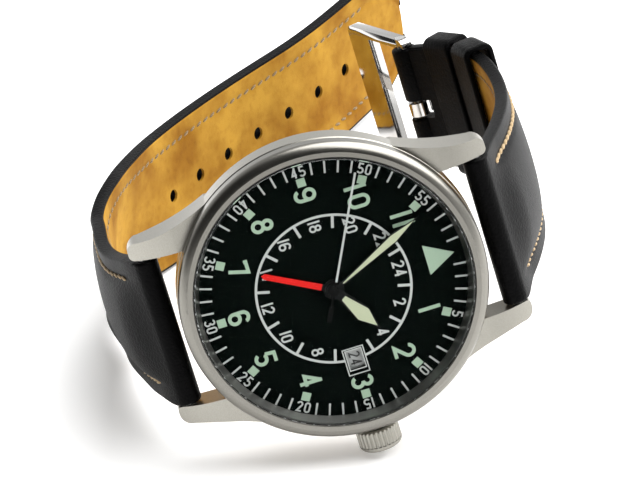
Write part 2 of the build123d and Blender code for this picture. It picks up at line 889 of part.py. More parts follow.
def barrel():
    """The toothed drum that holds the mainspring, open towards the bridge."""
    pitch_radius = pair_radii(barrel_teeth, centre_pinion_teeth, barrel_distance)[0]
    drum_radius = pitch_radius * (1 - 2 * tooth_dedendum_share / barrel_teeth) - running_gap
    body = gear(barrel_teeth, pitch_radius, barrel_angle + 180, barrel_top_height - barrel_flange,
                barrel_top_height)
    body += disc(drum_radius, barrel_bottom_height, barrel_top_height)
    body -= disc(drum_radius - barrel_wall, barrel_bottom_height - overrun,
                 barrel_top_height - barrel_flange)
    body += disc(barrel_arbor_radius, bridge_bottom_height + bridge_thickness / 2,
                 barrel_top_height)
    return Pos(*barrel_place, 0) * body


def spiral_strip(inner, outer, turns, strip, bottom, top):
    """A flat spiral spring between two radii."""
    steps = 20 * turns
    near, far = [], []
    for k in range(steps + 1):
        angle = 360 * turns * k / steps
        reach = inner + (outer - inner) * k / steps
        near.append(polar(reach - strip / 2, angle))
        far.append(polar(reach + strip / 2, angle))
    return extrude(plate_face(near + far[::-1], bottom), top - bottom)


def mainspring():
    pitch_radius = pair_radii(barrel_teeth, centre_pinion_teeth, barrel_distance)[0]
    outer = pitch_radius * (1 - 2 * tooth_dedendum_share / barrel_teeth) - barrel_wall - soft_gap
    spring = spiral_strip(mainspring_core_radius, outer, mainspring_turns, mainspring_strip,
                          barrel_bottom_height + running_gap,
                          barrel_top_height - barrel_flange - running_gap)
    return Pos(*barrel_place, 0) * spring


def centre_wheel():
    """The centre wheel and pinion on a tube that reaches up to the minute hand's cannon."""
    pinion_radius = pair_radii(centre_pinion_teeth, barrel_teeth, barrel_distance)[0]
    wheel_radius = pair_radii(centre_teeth, third_pinion_teeth, third_distance)[0]
    top = centre_wheel_height + wheel_thickness
    body = spoked(centre_teeth, wheel_radius, third_angle, centre_wheel_height, top,
                  pinion_radius + wheel_spoke_width)
    body += gear(centre_pinion_teeth, pinion_radius, gap_phase(barrel_angle, centre_pinion_teeth),
                 barrel_top_height - barrel_flange - pinion_margin, centre_wheel_height)
    body += disc(centre_tube_radius, centre_wheel_height, minute_hand_height)
    return body - disc(second_arbor_radius + running_gap, fourth_wheel_height,
                       minute_hand_height + overrun)


def third_wheel():
    pinion_radius = pair_radii(third_pinion_teeth, centre_teeth, third_distance)[0]
    wheel_radius = pair_radii(third_teeth, fourth_pinion_teeth, third_distance)[0]
    body = spoked(third_teeth, wheel_radius, third_angle + 180, third_wheel_height,
                  third_wheel_height + wheel_thickness, pinion_radius + wheel_spoke_width)
    body += gear(third_pinion_teeth, pinion_radius,
                 gap_phase(third_angle + 180, third_pinion_teeth), third_wheel_height,
                 centre_wheel_height + wheel_thickness + pinion_margin)
    body += disc(pivot_radius, bridge_bottom_height + bridge_thickness / 2,
                 plate_bottom_height + soft_gap)
    return Pos(*third_place, 0) * body


def fourth_wheel():
    """The seconds wheel, whose arbor runs up through the centre to the second hand."""
    pinion_radius = pair_radii(fourth_pinion_teeth, third_teeth, third_distance)[0]
    wheel_radius = pair_radii(fourth_teeth, escape_pinion_teeth, escape_distance)[0]
    body = spoked(fourth_teeth, wheel_radius, escape_angle, fourth_wheel_height,
                  fourth_wheel_height + wheel_thickness, pinion_radius + wheel_spoke_width)
    body += gear(fourth_pinion_teeth, pinion_radius,
                 gap_phase(third_angle, fourth_pinion_teeth), fourth_wheel_height,
                 third_wheel_height + wheel_thickness + pinion_margin)
    body += disc(second_arbor_radius, bridge_bottom_height + bridge_thickness / 2,
                 second_hand_height + hand_thickness / 2)
    return body


def escape_wheel():
    """Twenty raked teeth on a thin wheel, with the pinion that the fourth wheel drives."""
    points = []
    for k in range(escape_teeth):
        middle = 360 * k / escape_teeth
        step = 360 / escape_teeth
        points.append(polar(escape_wheel_radius * (1 - wheel_rim_share), middle - step / 2))
        points.append(polar(escape_wheel_radius, middle))
        points.append(polar(escape_wheel_radius, middle + step / 8))
        points.append(polar(escape_wheel_radius * (1 - wheel_rim_share), middle + step / 5))
    body = extrude(plate_face(points, escape_wheel_height), wheel_thickness)
    pinion_radius = pair_radii(escape_pinion_teeth, fourth_teeth, escape_distance)[0]
    rim_inner = escape_wheel_radius * (1 - 2 * wheel_rim_share)
    opening = ring(rim_inner, pinion_radius + wheel_spoke_width,
                   escape_wheel_height - overrun, escape_wheel_height + overrun)
    for k in range(wheel_spokes):
        opening -= Rot(0, 0, 360 * k / wheel_spokes) * block(
            0, escape_wheel_radius, -wheel_spoke_width / 2, wheel_spoke_width / 2,
            escape_wheel_height - 2 * overrun, escape_wheel_height + 2 * overrun)
    body -= opening
    body += gear(escape_pinion_teeth, pinion_radius,
                 gap_phase(escape_angle + 180, escape_pinion_teeth),
                 fourth_wheel_height - pinion_margin, escape_wheel_height)
    body += disc(pivot_radius, bridge_bottom_height + bridge_thickness / 2,
                 plate_bottom_height + soft_gap)
    return Pos(*escape_place, 0) * body


def pallet_fork():
    """The lever between the escape wheel and the balance, with two stones on its arms."""
    low = escape_wheel_height
    high = low + pallet_thickness
    arm = pallet_arm_width
    body = block(0, pallet_lever_length, -arm / 2, arm / 2, low, high)
    body += disc(arm, low, high)
    for side in (-1, 1):
        reach_x = -pallet_arm_width
        elbow = [(arm / 2, 0), (-arm / 2, 0), (reach_x - arm, side * pallet_arm_reach),
                 (reach_x, side * pallet_arm_reach)]
        body += extrude(plate_face(elbow, low), pallet_thickness)
        stone = block(reach_x - arm - pallet_stone_length / 2, reach_x - arm / 2,
                      side * pallet_arm_reach - arm / 2, side * pallet_arm_reach + arm / 2,
                      low, high)
        body += stone
    body += disc(pivot_radius, low - pallet_staff_foot, plate_bottom_height + soft_gap)
    return Pos(*pallet_place, 0) * Rot(0, 0, escape_to_balance) * body


def balance_wheel():
    """Rim, two arms, staff and roller."""
    low = balance_top_height - balance_rim_height
    body = ring(balance_radius, balance_radius - balance_rim_width, low, balance_top_height)
    body += block(-balance_radius + balance_rim_width / 2, balance_radius - balance_rim_width / 2,
                  -balance_arm_width / 2, balance_arm_width / 2, low, balance_top_height)
    body += disc(balance_roller_radius, balance_top_height, escape_wheel_height - running_gap)
    body += disc(pivot_radius, bridge_bottom_height + bridge_thickness / 2,
                 plate_bottom_height + soft_gap)
    return Pos(*balance_place, 0) * body


def hairspring():
    low = balance_top_height - balance_rim_height - hairspring_height - running_gap
    spring = spiral_strip(hairspring_core_radius, hairspring_outer_radius, hairspring_turns,
                          hairspring_strip, low, low + hairspring_height)
    collet = ring(hairspring_core_radius, pivot_radius, low,
                  balance_top_height - balance_rim_height)
    return Pos(*balance_place, 0) * (spring + collet)


def cannon_pinion():
    pitch_radius = pair_radii(cannon_teeth, minute_wheel_teeth, motion_distance)[0]
    body = gear(cannon_teeth, pitch_radius, motion_angle, cannon_gear_height,
                cannon_gear_height + motion_gear_thickness)
    body += disc(cannon_radius, cannon_gear_height, minute_hand_height + hand_thickness)
    return body - disc(centre_tube_radius, cannon_gear_height - overrun,
                       minute_hand_height + overrun)


def minute_wheel():
    """The wheel that steps the cannon pinion down, on a post of the main plate."""
    wheel_radius = pair_radii(minute_wheel_teeth, cannon_teeth, motion_distance)[0]
    hour_radius = pair_radii(hour_pinion_teeth, hour_teeth, motion_distance)[0]
    day_radius = pair_radii(day_pinion_teeth, day_teeth, motion_distance)[0]
    back = motion_angle + 180
    body = gear(minute_wheel_teeth, wheel_radius, gap_phase(back, minute_wheel_teeth),
                cannon_gear_height, cannon_gear_height + motion_gear_thickness)
    body += gear(hour_pinion_teeth, hour_radius, back, cannon_gear_height,
                 hour_gear_height + motion_gear_thickness)
    body += gear(day_pinion_teeth, day_radius, back, hour_gear_height,
                 day_gear_height + motion_gear_thickness)
    body -= disc(pivot_radius + running_gap, cannon_gear_height - overrun, 0)
    return Pos(*motion_place, 0) * body


def hour_wheel():
    pitch_radius = pair_radii(hour_teeth, hour_pinion_teeth, motion_distance)[0]
    body = gear(hour_teeth, pitch_radius, gap_phase(motion_angle, hour_teeth), hour_gear_height,
                hour_gear_height + motion_gear_thickness)
    body += disc(hour_pipe_radius, hour_gear_height, hour_hand_height + hand_thickness)
    return body - disc(cannon_radius + running_gap, hour_gear_height - overrun,
                       hour_hand_height + overrun)


def day_wheel():
    pitch_radius = pair_radii(day_teeth, day_pinion_teeth, motion_distance)[0]
    body = gear(day_teeth, pitch_radius, gap_phase(motion_angle, day_teeth), day_gear_height,
                day_gear_height + motion_gear_thickness)
    body += disc(day_pipe_radius, day_gear_height, day_hand_height + hand_thickness)
    return body - disc(hour_pipe_radius + running_gap, day_gear_height - overrun,
                       day_hand_height + overrun)


def date_disc():
    """A ring with a tooth for each day on its inner edge."""
    low = date_disc_top - date_disc_thickness
    points = []
    for k in range(date_count):
        step = 360 / date_count
        middle = k * step
        points.append(polar(date_disc_inner, middle - step / 6))
        points.append(polar(date_disc_inner, middle + step / 6))
        points.append(polar(date_disc_inner + date_tooth_depth, middle + step / 4))
        points.append(polar(date_disc_inner + date_tooth_depth, middle + 3 * step / 4))
    hole = extrude(plate_face(points, low - overrun), 2 * overrun)
    return disc(date_disc_outer, low, date_disc_top) - hole


def date_numerals():
    """Every date on the disc, upright at 3 o'clock, with one of them in the window."""
    solids = []
    for date in range(1, date_count + 1):
        turn = Rot(0, 0, (date_shown - date) * 360 / date_count)
        for solid in number_solids(str(date), date_numeral_height, date_numeral_width,
                                   date_numeral_line, date_numeral_gap, print_thickness):
            solids.append(turn * Pos(date_numeral_reach, 0, date_disc_top) * solid)
    return group(solids)


# Plates and bridges

def mainplate():
    body = turned([
        (0, plate_bottom_height), (plate_wall_inner, plate_bottom_height),
        (plate_wall_inner, bridge_top_height), (plate_radius, bridge_top_height),
        (plate_radius, -dial_thickness), (plate_rim_inner, -dial_thickness),
        (plate_rim_inner, plate_land_height), (plate_boss_outer, plate_land_height),
        (plate_boss_outer, plate_boss_height), (plate_boss_inner, plate_boss_height),
        (plate_boss_inner, plate_floor_height), (0, plate_floor_height)])
    body -= disc(centre_tube_radius + running_gap, plate_bottom_height - overrun,
                 plate_floor_height + overrun)
    for x, y in arbor_places + (balance_place,):
        body -= disc(pivot_radius + running_gap, plate_bottom_height - overrun,
                     plate_bottom_height + soft_gap + running_gap, x, y)
    for angle in (clock(350), clock(170)):
        x, y = polar(dial_foot_reach, angle)
        body -= disc(dial_foot_radius, -dial_thickness - dial_foot_length, 0, x, y)
    body += disc(pivot_radius, plate_floor_height - running_gap,
                 day_gear_height + motion_gear_thickness, *motion_place)
    body -= bar_along_x(stem_hole_radius, stem_inner_end - running_gap, plate_radius + overrun,
                        0, crown_height)
    slot = winding_pinion_radius + pinion_slot_margin
    body -= block(winding_pinion_start - pinion_slot_margin,
                  winding_pinion_start + winding_pinion_length + pinion_slot_margin,
                  -slot, slot, plate_bottom_height - overrun, 0)
    for angle in bridge_screw_angles + (cock_screw_angle,):
        x, y = polar(bridge_screw_reach, angle)
        body -= disc(bridge_screw_radius / 2, bridge_top_height - overrun,
                     bridge_top_height + bridge_screw_length, x, y)
    return body


def cock_outline(width, reach):
    """The finger over the balance, from the plate's wall to the balance staff."""
    length = bridge_radius - balance_distance
    finger = block(balance_distance, bridge_radius + overrun, -width / 2, width / 2,
                   bridge_bottom_height, bridge_top_height)
    finger += disc(width / 2, bridge_bottom_height, bridge_top_height, balance_distance, 0)
    return Rot(0, 0, balance_angle) * finger & disc(reach, bridge_bottom_height, bridge_top_height)


def train_bridge():
    body = disc(bridge_radius, bridge_bottom_height, bridge_top_height)
    clear = balance_radius + soft_gap
    low, high = bridge_bottom_height - overrun, bridge_top_height + overrun
    opening = disc(clear, low, high, *balance_place)
    opening += Rot(0, 0, balance_angle) * block(balance_distance, bridge_radius + overrun,
                                                -clear, clear, low, high)
    body -= opening
    for x, y in (third_place, escape_place, (0, 0)):
        body -= disc(jewel_radius, bridge_top_height - jewel_thickness, high, x, y)
        body -= disc(pivot_radius + running_gap, bridge_bottom_height + bridge_thickness / 4,
                     high, x, y)
    body -= disc(barrel_arbor_radius + running_gap, bridge_bottom_height + bridge_thickness / 4,
                 high, *barrel_place)
    for angle in bridge_screw_angles:
        x, y = polar(bridge_screw_reach, angle)
        body -= disc(bridge_screw_radius / 2, low, high, x, y)
        body -= disc(bridge_screw_radius, low, bridge_bottom_height + bridge_screw_head, x, y)
    body -= disc(rotor_axle_radius / 2, low, bridge_bottom_height + bridge_thickness / 4)
    return body


def balance_cock():
    body = cock_outline(cock_width, bridge_radius)
    x, y = polar(bridge_screw_reach, cock_screw_angle)
    low, high = bridge_bottom_height - overrun, bridge_top_height + overrun
    body -= disc(bridge_screw_radius / 2, low, high, x, y)
    body -= disc(bridge_screw_radius, low, bridge_bottom_height + bridge_screw_head, x, y)
    body -= disc(pivot_radius + running_gap, bridge_bottom_height + bridge_thickness / 4, high,
                 *balance_place)
    return body - disc(jewel_radius, bridge_top_height - jewel_thickness, high, *balance_place)


def pivot_jewels():
    """Ring stones pressed into the bridge and the cock."""
    places = (third_place, escape_place, (0, 0), balance_place)
    stone = ring(jewel_radius, pivot_radius + running_gap, bridge_top_height - jewel_thickness,
                 bridge_top_height)
    return group([Pos(x, y, 0) * stone for x, y in places])


def bridge_screws():
    """One screw each for the bridge's fixing points and one for the cock."""
    solids = []
    for angle in bridge_screw_angles + (cock_screw_angle,):
        x, y = polar(bridge_screw_reach, angle)
        head_top = bridge_bottom_height + bridge_screw_head
        head = disc(bridge_screw_radius, bridge_bottom_height, head_top, x, y)
        head -= block(x - bridge_screw_radius, x + bridge_screw_radius,
                      y - bridge_screw_radius / 6, y + bridge_screw_radius / 6,
                      bridge_bottom_height - overrun,
                      bridge_bottom_height + bridge_screw_head / 2)
        shank = disc(bridge_screw_radius / 2, head_top,
                     bridge_top_height + bridge_screw_length, x, y)
        solids.append(head + shank)
    return group(solids)


def rotor_axle():
    """The pin at the centre of the bridge that the rotor turns on, with its keeper head."""
    low = rotor_top_height - rotor_web_thickness - 2 * running_gap
    body = disc(rotor_axle_radius, low, bridge_bottom_height)
    body += disc(rotor_axle_head_radius, low - rotor_axle_head, low)
    return body + disc(rotor_axle_radius / 2, bridge_bottom_height,
                       bridge_bottom_height + bridge_thickness / 4)


def rotor():
    """The winding weight: a heavy half rim on a thin web that turns about the axle."""
    web = disc(rotor_radius, rotor_top_height - rotor_web_thickness, rotor_top_height)
    rim = ring(rotor_radius, rotor_rim_inner, rotor_top_height - rotor_rim_thickness,
               rotor_top_height)
    low = rotor_top_height - rotor_rim_thickness - overrun
    half = block(-rotor_radius - overrun, rotor_radius + overrun, -rotor_radius - overrun, 0,
                 low, rotor_top_height + overrun)
    body = (web + rim) & half
    for side in (-1, 1):
        window = disc(rotor_rim_inner * rotor_window_share / 2, low, rotor_top_height + overrun,
                      side * rotor_rim_inner / 2, -rotor_rim_inner * rotor_window_share / 1.5)
        body -= window
    body += disc(rotor_hub_radius, rotor_top_height - rotor_web_thickness, rotor_top_height)
    return body - disc(rotor_axle_radius + running_gap, low, rotor_top_height + overrun)


# Crown and keyless work

def crown_tube():
    return (bar_along_x(tube_radius, tube_inner_end, tube_outer_end, 0, crown_height)
            - bar_along_x(tube_bore_radius, tube_inner_end - overrun, tube_outer_end + overrun,
                          0, crown_height))


def crown():
    """A fluted knob, rounded at its outer face, with a recess that runs over the tube."""
    end = crown_start + crown_length
    knob = bar_along_x(crown_radius, crown_start, end, 0, crown_height)
    knob = fillet(knob.edges().group_by(Axis.X)[-1], crown_round)
    knob = chamfer(knob.edges().group_by(Axis.X)[0], crown_round / 2)
    for k in range(crown_flutes):
        y, z = polar(crown_radius + crown_flute_radius / 3, 360 * k / crown_flutes)
        knob -= bar_along_x(crown_flute_radius, crown_start - overrun, end - crown_round,
                            y, crown_height + z)
    knob -= bar_along_x(crown_recess_radius, crown_start - overrun,
                        crown_start + crown_recess_depth, 0, crown_height)
    return knob


def crown_gasket():
    start = crown_start + soft_gap
    return (bar_along_x(crown_recess_radius, start, start + crown_gasket_length, 0, crown_height)
            - bar_along_x(tube_radius + running_gap, start - overrun,
                          start + crown_gasket_length + overrun, 0, crown_height))


def winding_stem():
    return bar_along_x(stem_radius, stem_inner_end, crown_start + crown_recess_depth,
                       0, crown_height)


def winding_pinion():
    """A small toothed sleeve in the plate's slot that turns with the stem."""
    end = winding_pinion_start + winding_pinion_length
    wheel = gear(winding_pinion_teeth, winding_pinion_radius - pinion_margin, 0, 0,
                 winding_pinion_length)
    wheel = Pos(winding_pinion_start, 0, crown_height) * Rot(0, 90, 0) * wheel
    return wheel - bar_along_x(stem_radius + running_gap, winding_pinion_start - overrun,
                               end + overrun, 0, crown_height)


# Straps

def follow(side, heading, runs, distance):
    """The place and heading at a distance along a strap half's path, from its spring bar."""
    reach, height = spring_bar_reach, spring_bar_height
    for length, turn in runs:
        run = min(distance, length)
        bend = radians(turn) * run / length
        chord = run if bend == 0 else 2 * run / bend * sin(bend / 2)
        middle = radians(heading) + bend / 2
        reach += chord * sin(middle)
        height -= chord * cos(middle)
        heading += degrees(bend)
        distance -= run
        if distance <= 0:
            break
    reach += distance * sin(radians(heading))
    height -= distance * cos(radians(heading))
    return side * reach, height, heading


def strap_plane(side, heading, runs, distance, aside=0, twist=0):
    """A plane across the strap: its x lies across the strap and its y points outwards."""
    y, z, angle = follow(side, heading, runs, distance)
    tangent = Vector(0, side * sin(radians(angle)), -cos(radians(angle)))
    level = Vector(-side, 0, 0)
    across = level * cos(radians(twist)) + tangent.cross(level) * sin(radians(twist))
    return Plane(origin=(aside, y, z), x_dir=across, z_dir=tangent)


def long_plane(distance):
    return strap_plane(-1, long_heading, long_runs, distance, *drift(long_drift, distance))


def short_plane(distance):
    return strap_plane(1, short_heading, short_runs, distance, *drift(short_drift, distance))


def drift(places, distance):
    """How far aside a strap half has moved and how far it is twisted, blended between places."""
    for near, far in zip(places, places[1:]):
        if distance <= far[0]:
            break
    share = min((distance - near[0]) / (far[0] - near[0]), 1)
    share = (1 - cos(pi * share)) / 2
    return [start + (end - start) * share for start, end in zip(near[1:], far[1:])]


long_length = sum(length for length, turn in long_runs)
short_length = sum(length for length, turn in short_runs)


def long_half_width(distance):
    """Half the width: full at the lugs, narrower at the tail, and a rounded point."""
    taper = (strap_width - (strap_width - strap_tail_width) * distance / long_length) / 2
    left = long_length - distance
    if left >= strap_tip_length:
        return taper
    share = 1 - left / strap_tip_length
    return strap_tip_width / 2 + (taper - strap_tip_width / 2) * sqrt(1 - share ** 2)


def short_half_width(distance):
    return (strap_width - (strap_width - strap_tail_width) * distance / short_length) / 2


def crown_at(distance, padding_end):
    """The height of the padding, full near the case and gone at its end."""
    share = min(distance / padding_end, 1)
    return flat_crown + (padding_crown - flat_crown) * (1 + cos(pi * share)) / 2


def strip_section(plane, half, low, high, rise):
    """A section across a strap: flat below and at its stitched margins, crowned between them."""
    path = [Line((-half, low), (half, low)), Line((half, low), (half, high))]
    if rise > 0:
        seam = half * (1 - margin_share)
        path.append(Line((half, high), (seam, high)))
        path.append(ThreePointArc((seam, high), (0, high + rise), (-seam, high)))
        path.append(Line((-seam, high), (-half, high)))
    else:
        path.append(Line((half, high), (-half, high)))
    path.append(Line((-half, high), (-half, low)))
    return plane * make_face(Wire(path))


def spread(start, end, count):
    """Distances spaced evenly from start to end."""
    return [start + (end - start) * k / (count - 1) for k in range(count)]


def leather_edge_at(distance, length):
    return leather_edge + (strap_tail_leather - leather_edge) * distance / length


def strap_long():
    """Padded outer leather of the long half, folded round the spring bar, with its holes."""
    places = spread(strap_fold_length, long_length - strap_tip_length, 12)
    places += spread(long_length - strap_tip_length, long_length, 7)[1:]
    body = loft([strip_section(long_plane(s), long_half_width(s), 0,
                               leather_edge_at(s, long_length), crown_at(s, long_padding_end))
                 for s in places])
    body += fold(long_plane, long_half_width, long_length, long_padding_end)
    for k in range(hole_count):
        body -= long_plane(first_hole + k * hole_pitch).location * Rot(90, 0, 0) \
            * Cylinder(hole_radius, 4 * strap_end_radius)
    return body


def fold(plane_at, half_at, length, padding_end):
    """The end of a strap half, wrapped round its spring bar."""
    near = spring_bar_radius
    sections = []
    for s in (near, strap_fold_length):
        sections.append(strip_section(plane_at(s), half_at(s), -lining_thickness,
                                      leather_edge_at(s, length), crown_at(s, padding_end)
                                      * (s / strap_fold_length)))
    half = half_at(0)
    side = 1 if plane_at(0).origin.Y > 0 else -1
    bar_y = side * spring_bar_reach
    end = bar_along_x(strap_end_radius, -half, half, bar_y, spring_bar_height)
    hole = bar_along_x(spring_bar_radius + running_gap, -half - overrun, half + overrun,
                       bar_y, spring_bar_height)
    return loft(sections) + end - hole


def strap_long_lining():
    places = spread(strap_fold_length, long_length - strap_tip_length, 12)
    places += spread(long_length - strap_tip_length, long_length, 7)[1:]
    body = loft([strip_section(long_plane(s), long_half_width(s), -lining_thickness, 0, 0)
                 for s in places])
    for k in range(hole_count):
        body -= long_plane(first_hole + k * hole_pitch).location * Rot(90, 0, 0) \
            * Cylinder(hole_radius, 4 * strap_end_radius)
    return body


def strap_short():
    """Outer leather of the short half, folded round the spring bar and the buckle bar."""
    bar_end = short_length
    places = spread(strap_fold_length, bar_end - short_flap_length, 8)
    body = loft([strip_section(short_plane(s), short_half_width(s), 0,
                               leather_edge_at(s, short_length), crown_at(s, short_padding_end))
                 for s in places])
    flap = spread(bar_end - short_flap_length, bar_end - buckle_bar_radius, 4)
    body += loft([strip_section(short_plane(s), short_half_width(s), -lining_thickness,
                                leather_edge_at(s, short_length), flat_crown) for s in flap])
    body += fold(short_plane, short_half_width, short_length, short_padding_end)
    half = short_half_width(bar_end)
    body += bar_along_buckle(strap_end_radius, half)
    body -= bar_along_buckle(buckle_bar_radius + running_gap, half + overrun)
    slot = tongue_width / 2 + tongue_slot_gap
    reach = tongue_eye_radius + tongue_slot_gap
    notch = block(-slot, slot, -2 * reach, 2 * reach, -tongue_slot_length, 2 * reach)
    return body - short_plane(bar_end).location * notch


def strap_short_lining():
    places = spread(strap_fold_length, short_length - short_flap_length, 8)
    return loft([strip_section(short_plane(s), short_half_width(s), -lining_thickness, 0, 0)
                 for s in places])


def spring_bar(side):
    """A sprung tube with a thin tip in each lug."""
    reach = lug_width / 2
    y = side * spring_bar_reach
    body = bar_along_x(spring_bar_radius, -reach + running_gap, reach - running_gap, y,
                       spring_bar_height)
    return body + bar_along_x(spring_tip_radius, -reach - spring_tip_length,
                              reach + spring_tip_length, y, spring_bar_height)


def keeper(distance, slack):
    """A closed leather loop round the short half, with room for the tail outside it."""
    half = short_half_width(distance) + keeper_side_gap
    low = -lining_thickness - slack
    outer = block(-half - keeper_thickness, half + keeper_thickness, low - keeper_thickness,
                  low + keeper_height + keeper_thickness, -keeper_band / 2, keeper_band / 2)
    inner = block(-half, half, low, low + keeper_height, -keeper_band, keeper_band)
    outer = fillet(outer.edges().filter_by(Axis.Z), keeper_thickness)
    return short_plane(distance).location * (outer - inner)


# Buckle

def buckle_axis():
    """The middle of the buckle bar's axis."""
    y, z, angle = follow(1, short_heading, short_runs, short_length)
    return drift(short_drift, short_length)[0], y, z


def bar_along_buckle(radius, reach):
    """A round bar on the buckle bar's axis, with the same reach to both sides."""
    x, y, z = buckle_axis()
    return bar_along_x(radius, x - reach, x + reach, y, z)


def buckle_plane(heading):
    """A plane in the buckle: its x lies along the bar and its z runs along a heading."""
    angle = radians(heading)
    return Plane(origin=buckle_axis(), x_dir=(-1, 0, 0), z_dir=(0, sin(angle), -cos(angle)))


def buckle_frame():
    """A polished frame with a broad far bar, holed for the bar in its two arms."""
    far = buckle_bar_radius + buckle_opening_length + buckle_far_bar
    half = buckle_width / 2
    thick = buckle_thickness / 2
    outer = block(-half, half, -thick, thick, -buckle_near, far)
    outer = fillet(outer.edges().filter_by(Axis.Y), buckle_corner / 2)
    opening = block(-buckle_opening_width / 2, buckle_opening_width / 2, -buckle_thickness,
                    buckle_thickness, -buckle_near - overrun, far - buckle_far_bar)
    frame = buckle_plane(buckle_heading).location * (outer - opening)
    return frame - bar_along_buckle(buckle_bar_radius + running_gap, half + overrun)


def buckle_bar():
    return bar_along_buckle(buckle_bar_radius, buckle_width / 2)


def buckle_tongue():
    """An eye on the buckle bar and a tapering pin that lies across the far bar."""
    far = buckle_bar_radius + buckle_opening_length + buckle_far_bar + tongue_overhang
    rest = buckle_thickness / 2 + running_gap
    half = tongue_width / 2
    eye = Rot(0, 90, 0) * Cylinder(tongue_eye_radius, tongue_width)
    arm = block(-half, half, rest, rest + tongue_thickness, 0, far)
    arm = chamfer(arm.edges().filter_by(Axis.Y).group_by(Axis.Z)[-1], half / 2)
    hole = Rot(0, 90, 0) * Cylinder(buckle_bar_radius + running_gap, buckle_width)
    return buckle_plane(tongue_heading).location * (eye + arm - hole)


short_leather = strap_short()

nodes = {
    "case_middle": case_middle(),
    "bezel": bezel(),
    "crystal": crystal(),
    "crystal_gasket": ring(bezel_bore_radius, crystal_radius, crystal_bottom_height,
                           gasket_top_height),
    "inner_flange": inner_flange(),
    "case_back": case_back(),
    "case_back_gasket": ring(back_groove_radius + back_gasket_width, back_groove_radius,
                             case_foot_height - back_gasket_depth, case_foot_height),
    "crown_tube": crown_tube(),
    "movement_ring": movement_ring(),
    "case_clamps": case_clamps(),
    "dial": dial(),
    "hour_markers": hour_markers(),
    "hour_numerals": hour_numerals(),
    "minute_print": minute_print(),
    "day_print": day_print(),
    "window_frame": window_frame(),
    "mainplate": mainplate(),
    "train_bridge": train_bridge(),
    "balance_cock": balance_cock(),
    "bridge_screws": bridge_screws(),
    "pivot_jewels": pivot_jewels(),
    "rotor_axle": rotor_axle(),
    "rotor": rotor(),
    "barrel": barrel(),
    "mainspring": mainspring(),
    "centre_wheel": centre_wheel(),
    "third_wheel": third_wheel(),
    "fourth_wheel": fourth_wheel(),
    "escape_wheel": escape_wheel(),
    "pallet_fork": pallet_fork(),
    "balance_wheel": balance_wheel(),
    "hairspring": hairspring(),
    "cannon_pinion": cannon_pinion(),
    "minute_wheel": minute_wheel(),
    "hour_wheel": hour_wheel(),
    "day_wheel": day_wheel(),
    "date_disc": date_disc(),
    "date_numerals": date_numerals(),
    "winding_pinion": winding_pinion(),
    "winding_stem": winding_stem(),
    "crown": crown(),
    "crown_gasket": crown_gasket(),
    "hour_hand": hour_hand(),
    "hour_lume": hour_lume(),
    "minute_hand": minute_hand(),
    "minute_lume": minute_lume(),
    "second_hand": second_hand(),
    "day_hand": day_hand(),
    "strap_long": strap_long(),
    "strap_long_lining": strap_long_lining(),
    "strap_short": short_leather,
    "strap_short_lining": strap_short_lining(),
    "fixed_keeper": keeper(fixed_keeper_place, 0) - short_leather,
    "free_keeper": keeper(free_keeper_place, soft_gap),
    "spring_bar_long": spring_bar(-1),
    "spring_bar_short": spring_bar(1),
    "buckle_frame": buckle_frame(),
    "buckle_tongue": buckle_tongue(),
    "buckle_bar": buckle_bar(),
}

# The watch as it lies: 3 o'clock down, the dial leaning back, 12 o'clock rising to the right.
# Its lowest point comes to the floor, and the middle of its footprint to the origin.
lean = radians(lean_back)
rise = radians(twelve_rise)
dial_normal = Vector(0, -cos(lean), sin(lean))
dial_up = Vector(0, sin(lean), cos(lean))
level = Vector(1, 0, 0)
three_way = level * sin(rise) - dial_up * cos(rise)
turn_plane = Plane(origin=(0, 0, 0), x_dir=three_way, z_dir=dial_normal)
turned_nodes = {name: turn_plane.location * shape for name, shape in nodes.items()}
extent = Compound([solid for shape in turned_nodes.values() for solid in shape.solids()])
limits = extent.bounding_box()
shift = Vector(-(limits.min.X + limits.max.X) / 2, -(limits.min.Y + limits.max.Y) / 2,
               -limits.min.Z)
stand = Plane(origin=shift, x_dir=three_way, z_dir=dial_normal)

if __name__ == "__main__":
    os.makedirs("parts", exist_ok=True)
    for name, shape in nodes.items():
        export_step(stand.location * shape, f"parts/{name}.step")
    print("size", limits.size, "watch origin", shift)
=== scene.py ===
import json
from math import ceil, cos, degrees, pi, radians, sin, sqrt

import bmesh
import bpy
from mathutils import Matrix, Vector


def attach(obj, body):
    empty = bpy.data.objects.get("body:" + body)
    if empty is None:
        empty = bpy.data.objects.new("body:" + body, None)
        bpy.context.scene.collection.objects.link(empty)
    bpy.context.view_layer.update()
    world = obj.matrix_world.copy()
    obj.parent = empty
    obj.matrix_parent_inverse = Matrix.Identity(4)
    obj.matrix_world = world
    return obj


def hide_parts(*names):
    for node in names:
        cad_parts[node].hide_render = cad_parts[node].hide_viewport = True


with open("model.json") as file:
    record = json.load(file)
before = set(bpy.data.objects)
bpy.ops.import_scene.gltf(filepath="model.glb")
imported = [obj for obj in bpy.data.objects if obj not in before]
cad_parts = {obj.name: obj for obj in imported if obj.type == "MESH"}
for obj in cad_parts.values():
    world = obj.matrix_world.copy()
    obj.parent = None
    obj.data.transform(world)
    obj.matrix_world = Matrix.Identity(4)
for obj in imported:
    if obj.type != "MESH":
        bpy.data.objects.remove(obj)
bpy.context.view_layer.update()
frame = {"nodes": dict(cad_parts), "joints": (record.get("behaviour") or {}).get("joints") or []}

# Pilot watch, unbuckled, lying on the side of its case. Lengths are millimetres in the watch's
# own axes, as in the part: +X to 3 o'clock, +Y to 12 o'clock, +Z out of the dial, with the
# origin at the middle of the dial's front. One matrix takes them to where the watch lies.

nodes = frame["nodes"]
joints = {joint["name"]: joint for joint in frame["joints"]}


def facing(x_axis, y_axis, z_axis):
    """The turn that takes a piece's own axes to three directions."""
    return Matrix((x_axis, y_axis, z_axis)).transposed().to_4x4()


